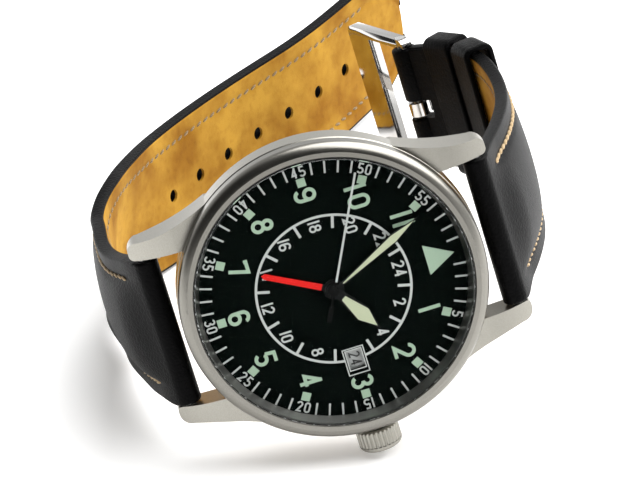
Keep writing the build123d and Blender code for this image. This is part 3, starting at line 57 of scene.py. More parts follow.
millimetre = 0.001
three = Vector(joints["crown_turn"]["axis"]).normalized()
outward = -Vector(joints["seconds_turn"]["axis"]).normalized()
twelve = outward.cross(three).normalized()
dial_centre = Vector(joints["seconds_turn"]["pos_m"])
axes = facing(three, twelve, outward)
to_place = Matrix.Translation(dial_centre) @ axes @ Matrix.Scale(millimetre, 4)

# Strap, the same path as the part's: a heading away from the case's axis in degrees, then runs
# with their turns. The drift is distance, move to 3 o'clock and twist.
strap_width = 20.2
strap_tail_width = 18.0
strap_tip_width = 6.0
strap_tip_length = 10.0
leather_edge = 1.1
strap_tail_leather = 0.9
padding_crown = 1.65
flat_crown = 0.12
margin_share = 0.26
lining_thickness = 0.8
strap_end_radius = 1.65
strap_fold_length = 4.2
spring_bar_radius = 0.85
long_heading = 30.5
long_runs = ((8.0, -14.7), (10.0, -9.6), (12.0, -7.8), (12.0, -27.0), (11.0, -7.2),
             (14.0, -5.6), (14.0, -4.9), (14.0, 6.9), (17.6, 1.5))
long_drift = ((0.0, 0.0, 0.0), (12.0, 0.9, -2.0), (24.0, 0.6, 2.6), (38.0, -1.2, 18.0),
              (56.0, -0.35, 8.0), (84.0, -0.15, 8.0), (112.6, -1.1, 9.5))
long_padding_end = 62.0
short_heading = 21.7
short_runs = ((9.8, -3.5), (7.3, -5.3), (7.4, -7.6), (7.4, -7.0), (6.0, -6.4), (5.5, -8.9),
              (6.3, -14.6), (8.3, -22.9))
short_drift = ((0.0, 0.0, 0.0), (24.0, 0.0, 0.0), (46.0, -1.0, 0.0), (58.0, -0.8, 0.0))
short_padding_end = 44.0
short_flap_length = 15.0

# Holes and slots, and how far the blocks that cut them reach through the strap
hole_count = 7
hole_radius = 0.95
hole_pitch = 7.0
first_hole = 54.0
lining_hole_share = 0.96
buckle_bar_radius = 0.75
tongue_slot_half = 1.3
tongue_slot_length = 6.2
flap_slot_length = 2.6
cut_reach = 4 * strap_end_radius

# Keepers and buckle
keeper_band = 5.0
keeper_thickness = 0.8
keeper_height = 2.8
keeper_side_gap = 0.3
keeper_slack = 0.38
keeper_corner_share = 0.34
keeper_edge_share = 0.36
fixed_keeper_place = 50.7
free_keeper_place = 43.3
buckle_round = 0.28
weld_reach = 0.001

# Leather details. The depths are heights over the lining's face of faces hidden in the strap.
edge_round = 0.32
lining_inset = 0.38
lining_sheet = 0.15
leather_floor_depth = 0.3
lining_roof_depth = 0.375
flap_roof_depth = 0.285
padding_fullness = 0.62
roll_blend = 7.5
bar_gap = 0.05

# Seams
seam_start = 3.8
stitch_inset = 2.6
stitch_pitch = 1.6
stitch_length = 1.35
stitch_radius = 0.26
stitch_lean = 14
stitch_groove = 0.16
stitch_groove_width = 0.55
lining_groove_share = 0.7
outer_stitch_rise = 0.104
lining_stitch_rise = 0.091

# Hands: their directions clockwise from 12 o'clock, and where their colour begins
day_hand_angle = 208.9
second_hand_angle = 295.5
red_start = 1.6
second_white_start = 1.3
paint_blur = 0.05

# How fine the meshes are
section_step = 0.8
tip_sections = 24
across_count = 56
roll_steps = 28
fold_rows = 10
wrap_steps = 40
hole_sides = 28
stitch_segments = 8
stitch_rings = 6
keeper_corner_steps = 8
edge_steps = 4

# Degrees at an edge, over which it stays sharp in the shading or gets rounded
strap_smooth = 50
keeper_smooth = 40
buckle_smooth = 35
keeper_sharp = 60
buckle_sharp = 50

# The part of a direction that lies along an axis, over which it counts as along it
along_axis = 0.9


# Strap halves

def spring_bar_place(joint):
    """The reach and height of a strap half's spring bar, from the joint that it turns on."""
    place = to_place.inverted() @ Vector(joints[joint]["pos_m"])
    return abs(place.y), place.z


def soft_step(share):
    """Runs from 0 to 1 as the share does, slowly at both ends."""
    share = min(max(share, 0), 1)
    return share * share * (3 - 2 * share)


def rounded_off(inside):
    """How far a face drops near its edge, from the distance inside that edge."""
    if inside >= edge_round:
        return 0
    return edge_round - sqrt(max(edge_round ** 2 - (edge_round - inside) ** 2, 0))


def seam_groove(half_width, x):
    """The seam's groove across the strap: 1 in its middle and 0 beside it."""
    row = half_width - stitch_inset
    return max(1 - ((abs(x) - row) / stitch_groove_width) ** 2, 0)


class StrapHalf:
    """The middle line of one strap half, its width, thickness and padding. A distance runs along
    the line from the spring bar, x runs across the strap, and a height is over the line."""

    def __init__(self, body, side, heading, runs, drift, padding_end):
        self.body = body
        self.side = side
        self.reach, self.height = spring_bar_place(body + "_swing")
        self.heading = heading
        self.runs = runs
        self.drift = drift
        self.padding_end = padding_end
        self.length = sum(length for length, turn in runs)

    def follow(self, distance):
        """The line's place and heading at a distance, before it drifts."""
        reach, height, heading = self.reach, self.height, self.heading
        for length, turn in self.runs:
            run = min(distance, length)
            bend = radians(turn) * run / length
            chord = run if bend == 0 else 2 * run / bend * sin(bend / 2)
            middle = radians(heading) + bend / 2
            reach += chord * sin(middle)
            height -= chord * cos(middle)
            heading += degrees(bend)
            distance -= run
            if distance <= 0:
                break
        reach += distance * sin(radians(heading))
        height -= distance * cos(radians(heading))
        return self.side * reach, height, heading

    def aside(self, distance):
        """How far the half has moved to 3 o'clock and how far it is twisted."""
        for near, far in zip(self.drift, self.drift[1:]):
            if distance <= far[0]:
                break
        share = min(max(distance - near[0], 0) / (far[0] - near[0]), 1)
        share = (1 - cos(pi * share)) / 2
        return [start + (end - start) * share for start, end in zip(near[1:], far[1:])]

    def plane(self, distance):
        """The line's place, and the directions across, outwards and along it there."""
        y, z, angle = self.follow(distance)
        moved, twist = self.aside(distance)
        along = Vector((0, self.side * sin(radians(angle)), -cos(radians(angle))))
        level = Vector((-self.side, 0, 0))
        across = level * cos(radians(twist)) + along.cross(level) * sin(radians(twist))
        return Vector((moved, y, z)), across, along.cross(across), along

    def point(self, distance, x, height):
        middle, across, out, along = self.plane(distance)
        return middle + across * x + out * height

    def straight(self, distance, x, height):
        """A place beside the bar, where the strap runs straight."""
        middle, across, out, along = self.plane(0)
        return middle + across * x + out * height + along * distance

    def half_width(self, distance):
        """Half the strap's width. The long half ends in a rounded tip."""
        taper = (strap_width - (strap_width - strap_tail_width) * distance / self.length) / 2
        left = self.length - distance
        if self.side > 0 or left >= strap_tip_length:
            return taper
        share = 1 - left / strap_tip_length
        return strap_tip_width / 2 + (taper - strap_tip_width / 2) * sqrt(max(1 - share ** 2, 0))

    def edge(self, distance):
        """The outer leather's height at the strap's edge."""
        share = min(distance / self.length, 1)
        return leather_edge + (strap_tail_leather - leather_edge) * share

    def crown(self, distance):
        """How far the padding stands out in the middle of the strap."""
        share = min(max(distance, 0) / self.padding_end, 1)
        return flat_crown + (padding_crown - flat_crown) * (1 + cos(pi * share)) / 2

    def top(self, distance, x):
        """The height of the outer face across the strap: a rounded edge, a flat margin, a groove
        along the seam and the padding between the seams."""
        half = self.half_width(distance)
        seam = half * (1 - margin_share)
        height = self.edge(distance) - rounded_off(half - abs(x))
        height -= stitch_groove * seam_groove(half, x)
        if abs(x) < seam:
            height += self.crown(distance) * (1 - (abs(x) / seam) ** 2) ** padding_fullness
        share = soft_step(distance / roll_blend)
        return strap_end_radius * (1 - share) + height * share


long_half = StrapHalf("long_half", -1, long_heading, long_runs, long_drift, long_padding_end)
short_half = StrapHalf("short_half", 1, short_heading, short_runs, short_drift, short_padding_end)


# Meshes

def deselect():
    if bpy.context.object and bpy.context.object.mode != "OBJECT":
        bpy.ops.object.mode_set(mode="OBJECT")
    bpy.ops.object.select_all(action="DESELECT")


def pick(obj):
    """Leaves one object selected and active."""
    deselect()
    obj.select_set(True)
    bpy.context.view_layer.objects.active = obj


def smooth(obj, angle):
    pick(obj)
    bpy.ops.object.shade_smooth_by_angle(angle=radians(angle))
    deselect()
    return obj


def mesh_piece(name, rings, round_bore=False):
    """A piece from rings of points, one after the other, with a face between neighbours. Round a
    bore the last ring joins the first, and otherwise the first and last ring are closed."""
    shape = bmesh.new()
    made = [[shape.verts.new(point) for point in ring] for ring in rings]
    count = len(rings[0])
    pairs = list(zip(made, made[1:]))
    if round_bore:
        pairs.append((made[-1], made[0]))
    for near, far in pairs:
        for k in range(count):
            after = (k + 1) % count
            shape.faces.new((near[k], near[after], far[after], far[k]))
    if not round_bore:
        shape.faces.new(made[0][::-1])
        shape.faces.new(made[-1])
    bmesh.ops.recalc_face_normals(shape, faces=shape.faces)
    mesh = bpy.data.meshes.new(name)
    shape.to_mesh(mesh)
    shape.free()
    obj = bpy.data.objects.new(name, mesh)
    bpy.context.scene.collection.objects.link(obj)
    return smooth(obj, strap_smooth)


def spread(start, end, step):
    """Distances from start to end, evenly spaced and no further apart than the step."""
    count = max(ceil((end - start) / step), 1)
    return [start + (end - start) * k / count for k in range(count + 1)]


def strap_distances(half, start, end):
    """Section places, closer together where the tip rounds off."""
    tip = half.length - strap_tip_length
    if half.side > 0 or end <= tip:
        return spread(start, end, section_step)
    places = spread(start, tip, section_step)
    for k in range(1, tip_sections + 1):
        places.append(tip + (end - tip) * sin(pi / 2 * k / tip_sections))
    return places


def band(half, name, start, end, floor, roof, inset=0.0):
    """A strip along a strap half between two heights across it, with rounded long edges."""
    rings = []
    for distance in strap_distances(half, start, end):
        width = half.half_width(distance) - inset
        over = [-width * cos(pi * k / across_count) for k in range(across_count + 1)]
        under = over[1:-1][::-1]
        rings.append([half.point(distance, x, roof(distance, x)) for x in over]
                     + [half.point(distance, x, floor(distance, x)) for x in under])
    return mesh_piece(name, rings)


def fold(half, name, bore):
    """The end of a strap half, rolled round its spring bar, up to where the strip begins."""
    width = half.half_width(0)
    rings, bore_ends = [], []
    for k in range(across_count + 1):
        x = -width * cos(pi * k / across_count)
        reach = strap_end_radius - rounded_off(width - abs(x))
        outline = []
        for row in range(fold_rows):
            s = strap_fold_length * (1 - row / fold_rows)
            outline.append((s, half.top(s, x)))
        for step in range(roll_steps + 1):
            angle = pi / 2 + pi * step / roll_steps
            outline.append((reach * cos(angle), reach * sin(angle)))
        for row in range(1, fold_rows + 1):
            share = soft_step(row / fold_rows)
            outline.append((strap_fold_length * row / fold_rows,
                            -reach * (1 - share) - lining_thickness * share))
        rings.append([half.point(s, x, height) if s > 0 else half.straight(s, x, height)
                      for s, height in outline])
        if k in (0, across_count):
            hole = []
            for s, height in outline:
                size = sqrt(s * s + height * height)
                hole.append(half.straight(s / size * bore, x, height / size * bore))
            bore_ends.append(hole)
    return mesh_piece(name, [bore_ends[0], *rings, bore_ends[1]], round_bore=True)


def wrap(half, name, distance, radius, bore, near, far):
    """Leather turned once round a bar that lies across the strap at a distance, between two
    places along that bar."""
    middle, across, out, along = half.plane(distance)
    spokes = []
    for k in range(wrap_steps + 1):
        angle = pi / 2 + 2 * pi * k / wrap_steps
        spokes.append(out * cos(angle) + along * sin(angle))
    rings = []
    for x in (near, near + edge_round / 2, near + edge_round, far - edge_round,
              far - edge_round / 2, far):
        outer = radius - rounded_off(min(x - near, far - x))
        rings.append([middle + across * x + spoke * outer for spoke in spokes]
                     + [middle + across * x + spoke * bore for spoke in spokes[::-1]])
    return mesh_piece(name, rings)


def join(name, pieces):
    """Several pieces made one, under the first one's object."""
    pick(pieces[0])
    for piece in pieces:
        piece.select_set(True)
    if len(pieces) > 1:
        bpy.ops.object.join()
    pieces[0].name = name
    pieces[0].data.name = name
    deselect()
    return pieces[0]


def apply_modifiers(obj):
    pick(obj)
    for modifier in list(obj.modifiers):
        bpy.ops.object.modifier_apply(modifier=modifier.name)
    deselect()
    return obj


def cut(obj, tool):
    """Takes one solid out of another."""
    modifier = obj.modifiers.new("cut", "BOOLEAN")
    modifier.operation = "DIFFERENCE"
    modifier.object = tool
    modifier.solver = "EXACT"
    apply_modifiers(obj)
    bpy.data.objects.remove(tool)
    return obj


def round_edges(obj, width, sharp):
    """A round on the edges that are sharper than an angle in degrees."""
    rounding = obj.modifiers.new("rounding", "BEVEL")
    rounding.width = width
    rounding.segments = edge_steps
    rounding.limit_method = "ANGLE"
    rounding.angle_limit = radians(sharp)
    return apply_modifiers(obj)


def pins(half, name, places, radius):
    """Round pins through the strap, one for each hole, to be cut out of it."""
    solids = []
    for distance in places:
        middle, across, out, along = half.plane(distance)
        bpy.ops.mesh.primitive_cylinder_add(vertices=hole_sides, radius=radius, depth=cut_reach)
        pin = bpy.context.object
        pin.data.transform(Matrix.Translation(middle) @ facing(along, across, out))
        solids.append(pin)
    return join(name, solids)


# Seams

def one_stitch():
    """A short length of thread, fat in the middle and tucked in at both ends."""
    deselect()
    bpy.ops.mesh.primitive_uv_sphere_add(segments=stitch_segments, ring_count=stitch_rings,
                                         radius=1)
    stitch = bpy.context.object
    bpy.ops.object.mode_set(mode="EDIT")
    bpy.ops.mesh.select_all(action="SELECT")
    bpy.ops.transform.resize(value=(stitch_radius, stitch_radius, stitch_length / 2))
    bpy.ops.object.mode_set(mode="OBJECT")
    return stitch


def stitch_row(half, name, end, side, face, rise):
    """A row of stitches along one edge, each leaning a little, at a rise over a face."""
    stitch = one_stitch()
    pieces = []
    count = int((end - seam_start) / stitch_pitch)
    sway = radians(stitch_lean * side)
    for k in range(count):
        distance = seam_start + (k + 0.5) * (end - seam_start) / count
        middle, across, out, along = half.plane(distance)
        x = side * (half.half_width(distance) - stitch_inset)
        lean = along * cos(sway) + across * sin(sway)
        place = middle + across * x + out * (face(distance, x) + rise)
        piece = stitch.copy()
        piece.data = stitch.data.copy()
        piece.data.transform(Matrix.Translation(place) @ facing(out.cross(lean), out, lean))
        bpy.context.scene.collection.objects.link(piece)
        pieces.append(piece)
    bpy.data.objects.remove(stitch)
    row = join(name, pieces)
    row.data.shade_smooth()
    return row


def seams(half, name, end, face, rise):
    """The seams on one face of a strap half, a row near each edge."""
    return join(name, [stitch_row(half, name, end, side, face, rise) for side in (-1, 1)])


# Strap, keepers and buckle

def leather_floor(half):
    """The underside of the outer leather, which folds round the edge and meets the lining."""
    def height(distance, x):
        inside = half.half_width(distance) - abs(x)
        if inside > lining_inset + edge_round:
            return -lining_thickness + leather_floor_depth
        return -lining_thickness + lining_sheet / 2 + rounded_off(inside)
    return height


def lining_roof(distance, x):
    return -lining_thickness + lining_roof_depth


def lining_face(half):
    """The lining's visible face: soft at its edges, with a shallow groove along the seam."""
    def height(distance, x):
        half_width = half.half_width(distance)
        drop = rounded_off(half_width - lining_inset - abs(x)) / edge_round * lining_sheet
        groove = stitch_groove * lining_groove_share * seam_groove(half_width, x)
        return -lining_thickness + drop + groove
    return height


holes = [first_hole + k * hole_pitch for k in range(hole_count)]


def long_leather():
    body = band(long_half, "long_leather", strap_fold_length, long_half.length,
                leather_floor(long_half), long_half.top)
    cut(body, pins(long_half, "hole_pins", holes, hole_radius))
    end = fold(long_half, "long_end", spring_bar_radius + bar_gap)
    return join("long_leather", [body, end])


def long_lining():
    body = band(long_half, "long_lining", strap_fold_length, long_half.length - lining_inset,
                lining_face(long_half), lining_roof, lining_inset)
    return cut(body, pins(long_half, "hole_pins", holes, hole_radius * lining_hole_share))


def tongue_slot(name, length):
    """The slot that the buckle's tongue comes out of, to be cut out of the bar end."""
    start = short_half.length - length
    end = short_half.length + 2 * strap_end_radius
    middle, across, out, along = short_half.plane((start + end) / 2)
    deselect()
    bpy.ops.mesh.primitive_cube_add(size=1)
    slot = bpy.context.object
    slot.name = name
    size = Matrix.Diagonal((end - start, 2 * tongue_slot_half, 2 * cut_reach, 1))
    slot.data.transform(Matrix.Translation(middle) @ facing(along, across, out) @ size)
    return slot


def short_leather():
    """The outer leather, rolled round the spring bar and the buckle's bar. Its flap turns back
    under the strap, and a slot leaves room for the tongue."""
    bar = short_half.length
    flap_start = bar - short_flap_length

    def flap_roof(distance, x):
        return -lining_thickness + flap_roof_depth

    def flap_face(distance, x):
        inside = short_half.half_width(distance) - lining_inset / 2 - abs(x)
        drop = rounded_off(inside) / edge_round
        if distance < flap_start + edge_round:
            drop += 1 - (distance - flap_start) / edge_round
        return -lining_thickness - lining_sheet + drop * lining_sheet

    body = band(short_half, "short_leather", strap_fold_length, bar - buckle_bar_radius,
                leather_floor(short_half), short_half.top)
    end = fold(short_half, "short_end", spring_bar_radius + bar_gap)
    width = short_half.half_width(bar)
    turned = [wrap(short_half, "bar_end", bar, strap_end_radius, buckle_bar_radius + bar_gap, *ends)
              for ends in ((-width, -tongue_slot_half), (tongue_slot_half, width))]
    flap = band(short_half, "flap", flap_start, bar - buckle_bar_radius, flap_face, flap_roof,
                lining_inset / 2)
    cut(body, tongue_slot("tongue_slot", tongue_slot_length))
    cut(flap, tongue_slot("flap_slot", flap_slot_length))
    return join("short_leather", [body, end, flap, *turned])


def short_lining():
    return band(short_half, "short_lining", strap_fold_length,
                short_half.length - short_flap_length + edge_round, lining_face(short_half),
                lining_roof, lining_inset)


def keeper(name, distance, slack):
    """A leather loop round the short half: a rounded band with soft edges."""
    middle, across, out, along = short_half.plane(distance)
    width = 2 * (short_half.half_width(distance) + keeper_side_gap) + keeper_thickness
    deselect()
    bpy.ops.mesh.primitive_cube_add(size=1)
    loop = bpy.context.object
    loop.name = name
    loop.data.name = name
    size = Matrix.Diagonal((width, keeper_height + keeper_thickness, keeper_band, 1))
    loop.data.transform(size)
    bpy.ops.object.mode_set(mode="EDIT")
    shape = bmesh.from_edit_mesh(loop.data)
    for face in shape.faces:
        face.select = abs(face.normal.z) > along_axis
    bmesh.update_edit_mesh(loop.data)
    bpy.ops.mesh.delete(type="FACE")
    bpy.ops.mesh.select_all(action="DESELECT")
    bpy.ops.mesh.select_mode(type="EDGE")
    shape = bmesh.from_edit_mesh(loop.data)
    for edge in shape.edges:
        direction = (edge.verts[0].co - edge.verts[1].co).normalized()
        edge.select = abs(direction.z) > along_axis
    bmesh.update_edit_mesh(loop.data)
    bpy.ops.mesh.bevel(offset=keeper_height * keeper_corner_share, segments=keeper_corner_steps,
                       affect="EDGES")
    bpy.ops.object.mode_set(mode="OBJECT")
    wall = loop.modifiers.new("wall", "SOLIDIFY")
    wall.thickness = keeper_thickness
    wall.offset = 0
    round_edges(loop, keeper_thickness * keeper_edge_share, keeper_sharp)
    place = middle + out * (keeper_height / 2 - lining_thickness - slack)
    loop.data.transform(Matrix.Translation(place) @ facing(across, out, along))
    return smooth(loop, keeper_smooth)


def polished_buckle():
    """The buckle's frame with its edges rounded off by polishing."""
    deselect()
    buckle = nodes["buckle_frame"].copy()
    buckle.data = buckle.data.copy()
    buckle.name = "polished_buckle"
    bpy.context.scene.collection.objects.link(buckle)
    shape = bmesh.new()
    shape.from_mesh(buckle.data)
    bmesh.ops.remove_doubles(shape, verts=shape.verts, dist=weld_reach * millimetre)
    bmesh.ops.recalc_face_normals(shape, faces=shape.faces)
    shape.to_mesh(buckle.data)
    shape.free()
    round_edges(buckle, buckle_round * millimetre, buckle_sharp)
    return smooth(buckle, buckle_smooth)


# Shader nodes

def node(tree, kind, inputs=(), **settings):
    """A shader node with its settings and the values of its sockets."""
    made = tree.nodes.new(kind)
    for name, value in settings.items():
        setattr(made, name, value)
    for name, value in dict(inputs).items():
        made.inputs[name].default_value = value
    return made


def link(tree, source, target):
    tree.links.new(source, target)


def new_material(name, inputs=()):
    """A material with one Principled shader and the values of its sockets."""
    material = bpy.data.materials.new(name)
    material.use_nodes = True
    tree = material.node_tree
    tree.nodes.clear()
    out = node(tree, "ShaderNodeOutputMaterial")
    shader = node(tree, "ShaderNodeBsdfPrincipled", inputs)
    link(tree, shader.outputs[0], out.inputs["Surface"])
    return material, tree, shader


def watch_coordinates(tree):
    """Object coordinates turned into watch millimetres."""
    place = node(tree, "ShaderNodeTexCoord")
    turn = node(tree, "ShaderNodeMapping",
                {"Location": dial_centre, "Rotation": axes.to_euler(), "Scale": (millimetre,) * 3},
                vector_type="TEXTURE")
    link(tree, place.outputs["Object"], turn.inputs["Vector"])
    return turn.outputs["Vector"]


def texture(tree, kind, place, inputs=(), **settings):
    made = node(tree, kind, inputs, **settings)
    link(tree, place, made.inputs["Vector"])
    return made


def ramp(tree, source, low, high, start, end):
    """A colour that runs from low to high as a value runs from start to end."""
    made = node(tree, "ShaderNodeValToRGB")
    made.color_ramp.elements[0].position = start
    made.color_ramp.elements[1].position = end
    made.color_ramp.elements[0].color = (*low, 1)
    made.color_ramp.elements[1].color = (*high, 1)
    link(tree, source, made.inputs["Fac"])
    return made.outputs["Color"]


def span(tree, source, low, high, start=0.0, end=1.0):
    """A value that runs from low to high as another runs from start to end."""
    made = node(tree, "ShaderNodeMapRange",
                {"From Min": start, "From Max": end, "To Min": low, "To Max": high})
    link(tree, source, made.inputs["Value"])
    return made.outputs["Result"]


def coloured(tree, shader, source, dark, light, start, end):
    link(tree, ramp(tree, source, dark, light, start, end), shader.inputs["Base Color"])


def roughened(tree, shader, source, rough):
    link(tree, span(tree, source, *rough), shader.inputs["Roughness"])


def bumped(tree, shader, source, strength, height):
    """Relief of a height in millimetres."""
    bump = node(tree, "ShaderNodeBump", {"Strength": strength, "Distance": height * millimetre})
    link(tree, source, bump.inputs["Height"])
    link(tree, bump.outputs["Normal"], shader.inputs["Normal"])


# The sockets of a Mix node that mixes colours
mix_first = 6
mix_second = 7
mix_result = 2


# Surface effects that several materials use

def group_tree(name, inputs, outputs):
    """An empty node group with its named sockets."""
    tree = bpy.data.node_groups.new(name, "ShaderNodeTree")
    for label, kind, value in inputs:
        socket = tree.interface.new_socket(label, in_out="INPUT", socket_type=kind)
        if value is not None:
            socket.default_value = value
    for label in outputs:
        tree.interface.new_socket(label, in_out="OUTPUT", socket_type="NodeSocketFloat")
    return tree, node(tree, "NodeGroupInput"), node(tree, "NodeGroupOutput")


def grain_group():
    """Leather grain: cells with creases between them, fine pores and broad patches."""
    tree, given, out = group_tree(
        "leather grain",
        [("Place", "NodeSocketVector", None), ("Cells", "NodeSocketFloat", 1.6)],
        ["Height", "Patches", "Pores"])
    place = given.outputs["Place"]
    bent = texture(tree, "ShaderNodeTexNoise", place, {"Scale": 0.5, "Detail": 3})
    shifted = node(tree, "ShaderNodeVectorMath", operation="ADD")
    link(tree, place, shifted.inputs[0])
    link(tree, bent.outputs["Color"], shifted.inputs[1])
    cells = texture(tree, "ShaderNodeTexVoronoi", shifted.outputs["Vector"],
                    feature="DISTANCE_TO_EDGE")
    link(tree, given.outputs["Cells"], cells.inputs["Scale"])
    crease = span(tree, cells.outputs["Distance"], 0, 1, end=0.16)
    pores = texture(tree, "ShaderNodeTexNoise", place, {"Scale": 7, "Detail": 4})
    pore_share = 0.5
    total = node(tree, "ShaderNodeMath", {1: pore_share}, operation="MULTIPLY_ADD")
    link(tree, pores.outputs["Fac"], total.inputs[0])
    link(tree, crease, total.inputs[2])
    patches = texture(tree, "ShaderNodeTexNoise", place,
                      {"Scale": 0.13, "Detail": 3, "Roughness": 0.55})
    link(tree, total.outputs["Value"], out.inputs["Height"])
    link(tree, patches.outputs["Fac"], out.inputs["Patches"])
    link(tree, pores.outputs["Fac"], out.inputs["Pores"])
    return tree


def metal_group():
    """Blasted or brushed metal: fine grit and soft smudges."""
    tree, given, out = group_tree(
        "metal finish",
        [("Place", "NodeSocketVector", None), ("Grit", "NodeSocketFloat", 9.0)],
        ["Grit", "Smudge"])
    place = given.outputs["Place"]
    grit = texture(tree, "ShaderNodeTexNoise", place, {"Detail": 3})
    link(tree, given.outputs["Grit"], grit.inputs["Scale"])
    smudge = texture(tree, "ShaderNodeTexNoise", place, {"Scale": 0.25, "Detail": 2})
    link(tree, grit.outputs["Fac"], out.inputs["Grit"])
    link(tree, smudge.outputs["Fac"], out.inputs["Smudge"])
    return tree


leather_grain = grain_group()
metal_finish = metal_group()


def placed_group(tree, group, place, inputs):
    made = node(tree, "ShaderNodeGroup", node_tree=group)
    for name, value in inputs.items():
        made.inputs[name].default_value = value
    link(tree, place, made.inputs["Place"])
    return made


# Materials

rough_spread = 0.1


def metal(name, dark, light, rough, grit=9.0, bump=0.1):
    """A metal with fine grit in its surface and soft smudges in its gloss."""
    material, tree, shader = new_material(name, {"Metallic": 1})
    finish = placed_group(tree, metal_finish, watch_coordinates(tree), {"Grit": grit})
    coloured(tree, shader, finish.outputs["Grit"], dark, light, start=0.3, end=0.7)
    roughened(tree, shader, finish.outputs["Smudge"], rough)
    bumped(tree, shader, finish.outputs["Grit"], bump, height=0.03)
    return material


def plain(name, dark, light, rough, scale, bump, shine=0.5):
    """Paint, print, lume or plastic with a fine speckle."""
    material, tree, shader = new_material(name, {"Specular IOR Level": shine})
    speckle = texture(tree, "ShaderNodeTexNoise", watch_coordinates(tree),
                      {"Scale": scale, "Detail": 4}).outputs["Fac"]
    coloured(tree, shader, speckle, dark, light, start=0.3, end=0.7)
    roughened(tree, shader, speckle, (rough * (1 - rough_spread), rough * (1 + rough_spread)))
    bumped(tree, shader, speckle, bump, height=0.03)
    return material


def grained_leather():
    """Black strap leather: creased, nearly matt, with broad patches of colour."""
    material, tree, shader = new_material(
        "black_leather",
        {"Specular IOR Level": 0.06, "Sheen Weight": 0.01, "Sheen Roughness": 0.35})
    grain = placed_group(tree, leather_grain, watch_coordinates(tree), {"Cells": 1.7})
    coloured(tree, shader, grain.outputs["Patches"], (0.0004, 0.0004, 0.0005),
             (0.0012, 0.0012, 0.0014), start=0.32, end=0.68)
    roughened(tree, shader, grain.outputs["Pores"], (0.4, 0.52))
    bumped(tree, shader, grain.outputs["Height"], strength=0.4, height=0.06)
    return material


def tan_lining():
    """Nubuck lining: golden tan, mottled, with darker rubbed places and a suede nap."""
    material, tree, shader = new_material(
        "tan_lining",
        {"Specular IOR Level": 0.12, "Sheen Weight": 0.03, "Sheen Roughness": 0.5,
         "Sheen Tint": (1, 0.8, 0.45, 1)})
    place = watch_coordinates(tree)
    grain = placed_group(tree, leather_grain, place, {"Cells": 2.6})
    mottle = texture(tree, "ShaderNodeTexNoise", place,
                     {"Scale": 0.9, "Detail": 6, "Roughness": 0.65})
    broad = ramp(tree, grain.outputs["Patches"], (0.25, 0.105, 0.004), (0.46, 0.25, 0.028),
                 start=0.34, end=0.66)
    fine = ramp(tree, mottle.outputs["Fac"], (0.84, 0.78, 0.68), (1, 1, 1), start=0.28, end=0.52)
    mixed = node(tree, "ShaderNodeMix", data_type="RGBA", blend_type="MULTIPLY")
    mixed.inputs["Factor"].default_value = 1
    link(tree, broad, mixed.inputs[mix_first])
    link(tree, fine, mixed.inputs[mix_second])
    link(tree, mixed.outputs[mix_result], shader.inputs["Base Color"])
    roughened(tree, shader, grain.outputs["Pores"], (0.62, 0.85))
    bumped(tree, shader, grain.outputs["Pores"], strength=0.35, height=0.08)
    return material


def thread(name, dark, light):
    """Twisted sewing thread: a fine slanting rib along each stitch, with painted shade in the
    grooves of the twist.
    """
    material, tree, shader = new_material(name, {"Sheen Weight": 0.2})
    twist = texture(tree, "ShaderNodeTexWave", watch_coordinates(tree),
                    {"Scale": 2.4, "Distortion": 1.5}, bands_direction="DIAGONAL").outputs["Fac"]
    # Painted shade: the colour runs from dark where the twist's relief is low, in its grooves, to
    # light on its crests.
    coloured(tree, shader, twist, dark, light, start=0.2, end=0.8)
    roughened(tree, shader, twist, (0.6, 0.8))
    bumped(tree, shader, twist, strength=0.6, height=0.05)
    return material


def sapphire_crystal():
    """Clear sapphire: it bends what the eye sees, and lets the light through to the dial."""
    material, tree, shader = new_material(
        "sapphire_crystal",
        {"Base Color": (0.98, 1, 0.995, 1), "Roughness": 0.0, "IOR": 1.77,
         "Transmission Weight": 1, "Specular Tint": (0, 0, 0, 1)})
    out = next(n for n in tree.nodes if n.type == "OUTPUT_MATERIAL")
    clear = node(tree, "ShaderNodeBsdfTransparent")
    path = node(tree, "ShaderNodeLightPath")
    both = node(tree, "ShaderNodeMath", operation="MAXIMUM")
    link(tree, path.outputs["Is Shadow Ray"], both.inputs[0])
    link(tree, path.outputs["Is Diffuse Ray"], both.inputs[1])
    mixed = node(tree, "ShaderNodeMixShader")
    link(tree, both.outputs["Value"], mixed.inputs["Fac"])
    link(tree, shader.outputs[0], mixed.inputs[1])
    link(tree, clear.outputs[0], mixed.inputs[2])
    link(tree, mixed.outputs[0], out.inputs["Surface"])
    return material


def black_root(material, angle, reach):
    """Blackens a hand's hub and tail, up to a reach along the hand's own direction."""
    tree = material.node_tree
    shader = next(n for n in tree.nodes if n.type == "BSDF_PRINCIPLED")
    colour = shader.inputs["Base Color"].links[0].from_socket
    direction = (sin(radians(angle)), cos(radians(angle)), 0)
    along = node(tree, "ShaderNodeVectorMath", {1: direction}, operation="DOT_PRODUCT")
    link(tree, watch_coordinates(tree), along.inputs[0])
    mixed = node(tree, "ShaderNodeMix", data_type="RGBA")
    mixed.inputs[mix_first].default_value = (0.004, 0.004, 0.004, 1)
    link(tree, span(tree, along.outputs["Value"], 0, 1, reach - paint_blur, reach + paint_blur),
         mixed.inputs["Factor"])
    link(tree, colour, mixed.inputs[mix_second])
    link(tree, mixed.outputs[mix_result], shader.inputs["Base Color"])


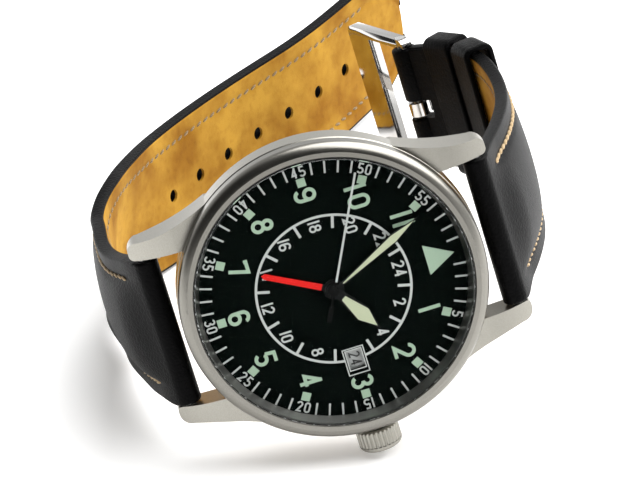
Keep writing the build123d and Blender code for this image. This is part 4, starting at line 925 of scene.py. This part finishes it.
steel = metal("satin_steel", (0.31, 0.3, 0.265), (0.38, 0.365, 0.325), rough=(0.28, 0.36),
              bump=0.06)
# The bezel's steel has a finer, glossier finish than the case's, and a darker copy of the case
# steel's colour. That darker colour is painted shade, so that the bezel comes out dimmer.
shaded_bezel_steel = metal("shaded_bezel_steel", (0.2, 0.193, 0.172), (0.26, 0.25, 0.225), rough=(0.26, 0.32),
                    grit=12.0, bump=0.04)
polished_steel = metal("polished_steel", (0.5, 0.49, 0.475), (0.56, 0.55, 0.535),
                       rough=(0.07, 0.13), grit=5.0, bump=0.02)
flange_steel = metal("flange_steel", (0.3, 0.3, 0.28), (0.36, 0.36, 0.34), rough=(0.34, 0.42),
                     grit=12.0, bump=0.03)
movement_steel = metal("movement_steel", (0.55, 0.55, 0.54), (0.66, 0.66, 0.64),
                       rough=(0.22, 0.34))
movement_brass = metal("movement_brass", (0.66, 0.5, 0.22), (0.78, 0.6, 0.3), rough=(0.24, 0.34))

black_leather = grained_leather()
lining_leather = tan_lining()
seam_thread = thread("seam_thread", (0.26, 0.15, 0.05), (0.62, 0.46, 0.25))
lining_thread = thread("lining_thread", (0.12, 0.07, 0.02), (0.26, 0.17, 0.06))

dial_paint = plain("dial_paint", (0.0015, 0.003, 0.0024), (0.003, 0.0048, 0.004), rough=0.75,
                   scale=10.0, bump=0.02, shine=0.0)
lume_paint = plain("lume_paint", (0.36, 0.5, 0.36), (0.47, 0.62, 0.47), rough=0.7, scale=14.0,
                   bump=0.15)
hand_lume_paint = plain("hand_lume_paint", (0.5, 0.55, 0.36), (0.6, 0.64, 0.44), rough=0.7,
                        scale=14.0, bump=0.15)
white_print = plain("white_print", (0.52, 0.54, 0.52), (0.62, 0.64, 0.62), rough=0.6, scale=14.0,
                    bump=0.05)
date_card = plain("date_card", (0.42, 0.43, 0.42), (0.5, 0.51, 0.5), rough=0.6, scale=14.0,
                  bump=0.05)
date_ink = plain("date_ink", (0.03, 0.03, 0.03), (0.06, 0.06, 0.06), rough=0.6, scale=14.0,
                 bump=0.05)
red_paint = plain("red_paint", (0.76, 0.006, 0.004), (0.9, 0.012, 0.008), rough=0.5, scale=12.0,
                  bump=0.05, shine=0.2)
black_root(red_paint, day_hand_angle, red_start)
second_paint = plain("second_paint", (0.52, 0.54, 0.52), (0.62, 0.64, 0.62), rough=0.6,
                     scale=14.0, bump=0.05, shine=0.1)
black_root(second_paint, second_hand_angle, second_white_start)
black_metal = plain("black_metal", (0.003, 0.0035, 0.0035), (0.006, 0.0065, 0.0065), rough=0.4,
                    scale=12.0, bump=0.03, shine=0.15)
rubber = plain("rubber", (0.012, 0.012, 0.012), (0.02, 0.02, 0.02), rough=0.7, scale=6.0, bump=0.1)
nylon_ring = plain("nylon_ring", (0.6, 0.6, 0.57), (0.7, 0.7, 0.67), rough=0.5, scale=4.0,
                   bump=0.05)
ruby = plain("ruby", (0.42, 0.015, 0.06), (0.6, 0.03, 0.1), rough=0.12, scale=4.0, bump=0.0)

finishes = {
    steel: ("case_middle", "case_back", "crown", "crown_tube"),
    shaded_bezel_steel: ("bezel",),
    polished_steel: ("buckle_frame", "buckle_tongue"),
    flange_steel: ("inner_flange",),
    movement_steel: ("case_clamps", "train_bridge", "balance_cock", "bridge_screws", "rotor_axle",
                     "rotor", "mainspring", "escape_wheel", "pallet_fork", "hairspring",
                     "cannon_pinion", "winding_pinion", "winding_stem", "spring_bar_long",
                     "spring_bar_short", "buckle_bar"),
    movement_brass: ("mainplate", "barrel", "centre_wheel", "third_wheel", "fourth_wheel",
                     "balance_wheel", "minute_wheel", "hour_wheel", "day_wheel"),
    sapphire_crystal(): ("crystal",),
    rubber: ("crystal_gasket", "case_back_gasket", "crown_gasket"),
    dial_paint: ("dial",),
    lume_paint: ("hour_markers", "hour_numerals"),
    hand_lume_paint: ("hour_lume", "minute_lume"),
    white_print: ("minute_print", "day_print", "window_frame"),
    second_paint: ("second_hand",),
    date_card: ("date_disc",),
    date_ink: ("date_numerals",),
    red_paint: ("day_hand",),
    black_metal: ("hour_hand", "minute_hand"),
    nylon_ring: ("movement_ring",),
    ruby: ("pivot_jewels",),
}


def paint(obj, material):
    obj.data.materials.clear()
    obj.data.materials.append(material)


for material, names in finishes.items():
    for name in names:
        paint(nodes[name], material)


# New pieces in place

def laid(obj):
    """Takes a piece drawn in watch millimetres to where the watch lies."""
    obj.data.transform(to_place)
    obj.data.update()
    return obj


def fit(obj, material, slot_name, body, *replaced):
    """Paints a piece, ties it to its body and hides the solids that it stands in for."""
    paint(obj, material)
    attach(obj, body)
    if replaced:
        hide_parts(*replaced)
    return obj


long_outer = fit(laid(long_leather()), black_leather, "black_leather", "long_half", "strap_long")
fit(laid(long_lining()), lining_leather, "tan_leather", "long_half", "strap_long_lining")
short_outer = fit(laid(short_leather()), black_leather, "black_leather", "short_half",
                  "strap_short")
fit(laid(short_lining()), lining_leather, "tan_leather", "short_half", "strap_short_lining")
fit(laid(keeper("fixed_loop", fixed_keeper_place, 0)), black_leather, "black_leather",
    "short_half", "fixed_keeper")
fit(laid(keeper("free_loop", free_keeper_place, keeper_slack)), black_leather, "black_leather",
    "loose_keeper", "free_keeper")

# Seams run to the tip's curve, to the bar end's roll and to the flap
tip_start = long_half.length - strap_tip_length
for half, name, end, face, rise, fibre in (
        (long_half, "long_seams", tip_start, long_half.top, outer_stitch_rise, seam_thread),
        (short_half, "short_seams", short_half.length - seam_start, short_half.top,
         outer_stitch_rise, seam_thread),
        (long_half, "long_lining_seams", tip_start, lining_face(long_half), lining_stitch_rise,
         lining_thread),
        (short_half, "short_lining_seams", short_half.length - short_flap_length,
         lining_face(short_half), lining_stitch_rise, lining_thread)):
    fit(laid(seams(half, name, end, face, rise)), fibre, "tan_leather", half.body)

fit(polished_buckle(), polished_steel, "polished_steel", "buckle", "buckle_frame")

# Floor: pale paper that glows a little, so that shadows stay light
floor_size = 1.2
floor_white = 0.92
floor_glow = 0.3
deselect()
bpy.ops.mesh.primitive_plane_add(size=floor_size)
floor = bpy.context.object
floor.name = "floor"
paint(floor, new_material(
    "floor_paper",
    {"Base Color": (floor_white, floor_white, floor_white, 1), "Roughness": 0.9,
     "Emission Color": (1, 0.985, 0.96, 1), "Emission Strength": floor_glow})[0])

# The room: pale all round, darker overhead, and dark in front of the watch
room_pale = 1.0
room_dark = 0.06
overhead_share = 0.3
dark_start = 0.55
dark_end = 0.8
room_front = Vector((-0.55, -0.75, 0.36))
world = bpy.data.worlds.new("studio")
bpy.context.scene.world = world
world.use_nodes = True
room = world.node_tree
surround = room.nodes["Background"]
surround.inputs["Strength"].default_value = 1
direction = node(room, "ShaderNodeTexCoord").outputs["Generated"]
towards = node(room, "ShaderNodeVectorMath", {1: room_front}, operation="DOT_PRODUCT")
link(room, direction, towards.inputs[0])
frontness = span(room, towards.outputs["Value"], 0, 1, start=-1)
height = node(room, "ShaderNodeSeparateXYZ")
link(room, direction, height.inputs["Vector"])
faded = node(room, "ShaderNodeVectorMath", operation="SCALE")
link(room, ramp(room, frontness, (room_pale,) * 3, (room_dark,) * 3, dark_start, dark_end),
     faded.inputs[0])
link(room, span(room, height.outputs["Z"], 1, overhead_share), faded.inputs["Scale"])
link(room, faded.outputs["Vector"], surround.inputs["Color"])

# A soft square light over the watch, which looks at it. Its place and size are metres.
light_place = Vector((0.4, 0.2, 0.75))
light_size = 1.2
light_power = 24.0
light = bpy.data.lights.new("top_light", "AREA")
light.shape = "SQUARE"
light.size = light_size
light.energy = light_power
lamp = bpy.data.objects.new("top_light", light)
aim = (-light_place).to_track_quat("-Z", "Y").to_matrix().to_4x4()
lamp.matrix_world = Matrix.Translation(light_place) @ aim
bpy.context.scene.collection.objects.link(lamp)

# The camera's place in watch millimetres, with its own right and down directions there
camera_place = Vector((-217.377, 1.077, 597.507))
camera_right = Vector((0.27878, 0.95546, 0.09684))
camera_down = Vector((0.90093, -0.29512, 0.31816))
camera_data = bpy.data.cameras.new("camera")
camera_data.lens = 281.25
camera_data.sensor_width = 36.0
camera_data.clip_start = 0.01
camera = bpy.data.objects.new("camera", camera_data)
right = (axes.to_3x3() @ camera_right).normalized()
back = (axes.to_3x3() @ camera_down.cross(camera_right)).normalized()
look = facing(right, back.cross(right), back)
camera.matrix_world = Matrix.Translation(to_place @ camera_place) @ look
bpy.context.scene.collection.objects.link(camera)
bpy.context.scene.camera = camera
bpy.context.scene.view_settings.view_transform = "Standard"
